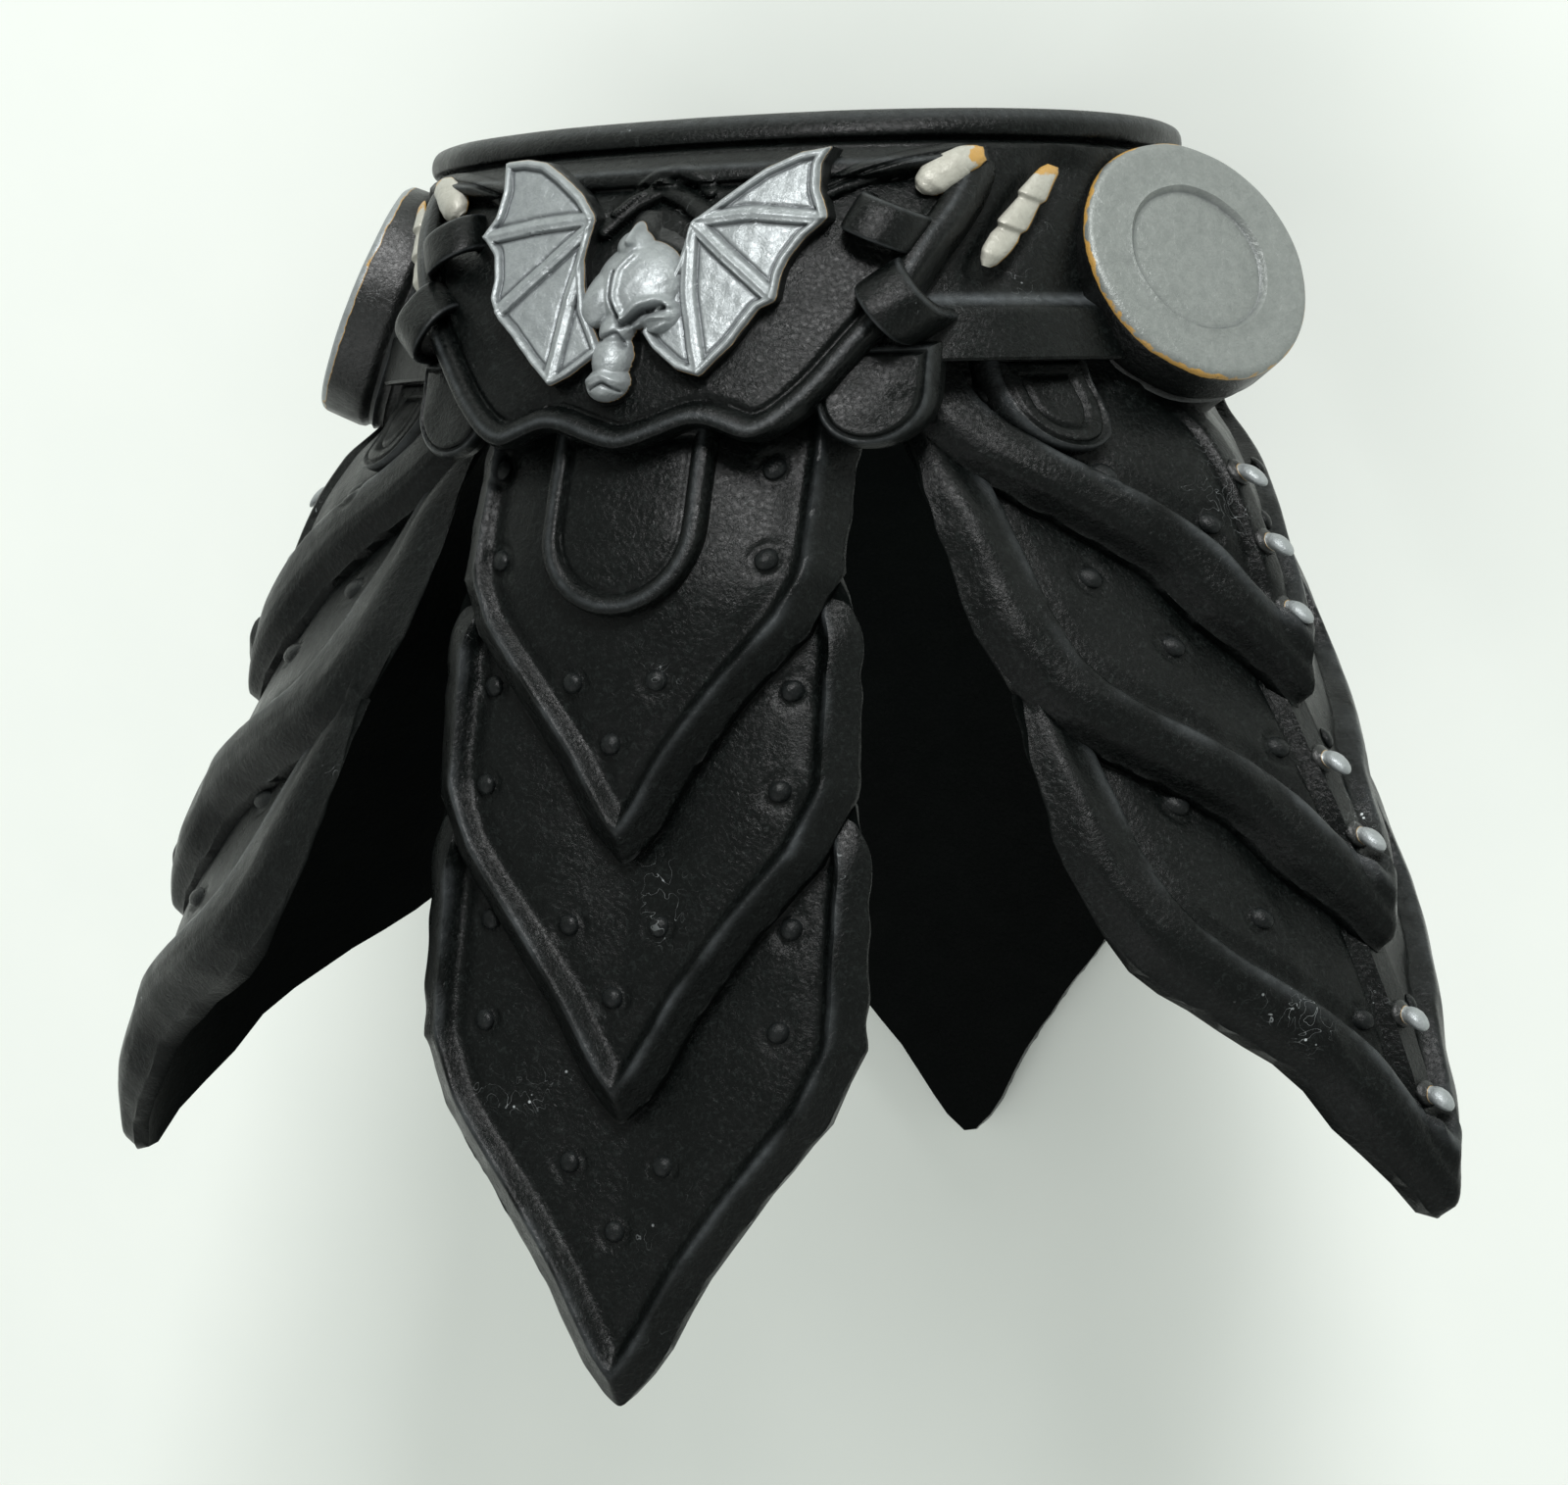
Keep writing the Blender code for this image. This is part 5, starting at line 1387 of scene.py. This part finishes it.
# Lines of the face, each with its width and its height or depth.
HEAD_FOLDS = [
    ([(-0.3, 8.6), (0.35, 7.95), (1.1, 7.75), (1.6, 8.0)], 0.16, 0.3),
    ([(-0.35, 8.5), (-0.75, 7.6), (-0.7, 6.5), (-0.2, 5.9)], 0.14, 0.2),
    ([(0.0, 8.9), (0.8, 8.5), (1.5, 8.5)], 0.12, 0.22),
    ([(0.1, 9.1), (0.9, 9.0), (1.5, 8.75)], 0.1, 0.16),
    ([(-1.6, 10.9), (-0.9, 10.65), (-0.1, 11.0)], 0.13, 0.16),
    ([(-0.45, 4.7), (-0.45, 5.4)], 0.16, 0.35),
]
HEAD_CUTS = [
    ([(-0.35, 8.75), (0.4, 8.25), (1.3, 8.1)], 0.1, 0.3),
    ([(-0.45, 8.6), (-0.95, 7.7), (-0.95, 6.6)], 0.08, 0.22),
    ([(-1.3, 9.3), (-0.5, 9.0), (-0.2, 9.6)], 0.08, 0.18),
    ([(-1.4, 11.25), (-0.8, 11.0), (-0.2, 11.35)], 0.07, 0.18),
]


def head_height(across, drop):
    """Relief and creases of the head: dome, ear, brows, cheeks and long muzzle, the highest showing, and a
    mark that paints its cuts dark as painted shade.
    """
    base = np.maximum.reduce([
        mound(across, drop, (-0.1, 7.1), (2.0, 1.85), 1.55),
        mound(across, drop, (-0.5, 5.55), (0.85, 0.75), 1.2),
        1.3 - 1.15 * np.hypot((across + 0.5) / 0.55, (drop - 5.35) / 0.95),
        mound(across, drop, (-1.5, 7.5), (0.95, 1.5), 1.3, 0.45),
        mound(across, drop, (1.15, 8.45), (0.95, 0.75), 1.15, -0.35),
        mound(across, drop, (-0.75, 8.9), (0.8, 0.9), 1.35),
        mound(across, drop, (-0.8, 10.0), (0.92, 1.15), 1.35),
        mound(across, drop, (-0.85, 11.0), (0.98, 0.8), 1.35),
    ])
    folds = sum(fold(across, drop, *line) for line in HEAD_FOLDS)
    cuts = sum(fold(across, drop, *line) for line in HEAD_CUTS)
    relief = base + np.where(base > 0.15, 1.2 * folds - 1.5 * cuts, 0.0)
    # The cuts are painted dark, as painted shade.
    return relief + 0.02 * ripple(across, drop, 0.6, 23), np.clip(3.0 * cuts, 0.0, 0.8)


HEAD_CELL = 0.055
HEAD_BASE = 1.35
HEAD_LOWEST = 0.6
HEAD_BACK = 0.5
HEAD_SPAN = (-2.9, 2.6)
HEAD_DROPS = (4.0, 12.3)


def build_head():
    """A grid over the head's box, raised by its relief, with a flat back sunk into the belt."""
    drop, across = np.meshgrid(np.arange(*HEAD_DROPS, HEAD_CELL), np.arange(*HEAD_SPAN, HEAD_CELL),
                               indexing="ij")
    relief, crease = head_height(across, drop)
    lift = np.maximum(HEAD_BASE + relief, HEAD_LOWEST)
    front = belt_point(across, drop, lift).reshape(-1, 3)
    back = belt_point(across, drop, np.full_like(lift, HEAD_BACK)).reshape(-1, 3)
    size = across.size
    index = np.arange(size).reshape(across.shape)
    rim = np.concatenate([index[0], index[1:, -1], index[-1, -2::-1], index[-2:0:-1, 0]])
    far = np.roll(rim, -1)
    walls = np.stack([rim, far, far + size, rim + size], axis=1)
    quads = grid_quads(*across.shape)
    values = {"paint": np.concatenate([smooth_step(relief, 0.15, 0.6).ravel(), np.zeros(size)]),
              "wear_and_painted_light": np.concatenate([crease.ravel(), np.zeros(size)])}
    put_piece("bat_head", np.concatenate([front, back]), [quads, quads[:, ::-1] + size, walls],
              silver, ["bat_body"], values, sharp=70)


build_head()

# %% [markdown]
# ## Spikes
# Along the spine of each side plate stands a row of short nails, painted silver, each
# in a black collar. They are small, so a ring carried along a short curved path does.

# %% Spikes
SPIKE_DROPS = {"upper": (15.3, 18.2, 21.0), "middle": (27.2, 30.3), "lower": (37.6, 40.8)}
SPIKE_LENGTH = 1.25
SPIKE_RADIUS = 0.52
SPIKE_SIDES = 16
SPIKE_SUNK = 0.15
# Share of the length and share of the radius, from the collar to the blunt tip.
SPIKE_PROFILE = np.array([(0.0, 1.25), (0.08, 1.3), (0.2, 1.25), (0.26, 1.1), (0.34, 0.8), (0.5, 0.95),
                          (0.66, 1.0), (0.8, 0.95), (0.9, 0.75), (0.97, 0.48), (1.0, 0.15)])


def build_spikes(plate, side, lean):
    """Rings along each nail, from a collar at the spine to a blunt tip; lean tips it towards the rear."""
    share, swell = SPIKE_PROFILE[:, 0][:, None], SPIKE_PROFILE[:, 1][:, None]
    turn = np.linspace(0.0, 2.0 * math.pi, SPIKE_SIDES, endpoint=False)
    wide = SPIKE_RADIUS * swell * np.cos(turn) + lean * SPIKE_LENGTH * share
    tall = 0.85 * SPIKE_RADIUS * swell * np.sin(turn) - 0.35 * share ** 2
    paint = np.concatenate([np.repeat(smooth_step(share, 0.26, 0.4), SPIKE_SIDES), [0.0, 1.0]])
    spots = [(level, drop) for level, drops in SPIKE_DROPS.items() for drop in drops]
    for number, (level, drop) in enumerate(spots, 1):
        face = float(lame_lift(plate, level, np.zeros((1, 1)), np.full((1, 1), drop))[0][0, 0])
        lift = face - SPIKE_SUNK + SPIKE_LENGTH * (1.0 - 0.5 * lean) * share
        points, faces = capped_tube(side_point(wide, drop - tall, lift, side))
        put_piece(f"nail_{plate['word']}_{number}", points, faces, silver,
                  [f"spike_{plate['word']}_{number}"], {"paint": paint}, sharp=60)


build_spikes(PLATES["left"], -1, 0.8)
build_spikes(PLATES["right"], 1, 0.0)

# %% Compare the two boxes and finish
dressed_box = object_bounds()
for axis in range(3):
    cad_side = (cad_box[1][axis] - cad_box[0][axis]) / MM
    dressed_side = (dressed_box[1][axis] - dressed_box[0][axis]) / MM
    print("xyz"[axis], "CAD", round(cad_side, 2), "mm, dressed", round(dressed_side, 2), "mm")
print("lowest point", round(dressed_box[0][2] / MM, 3), "mm")
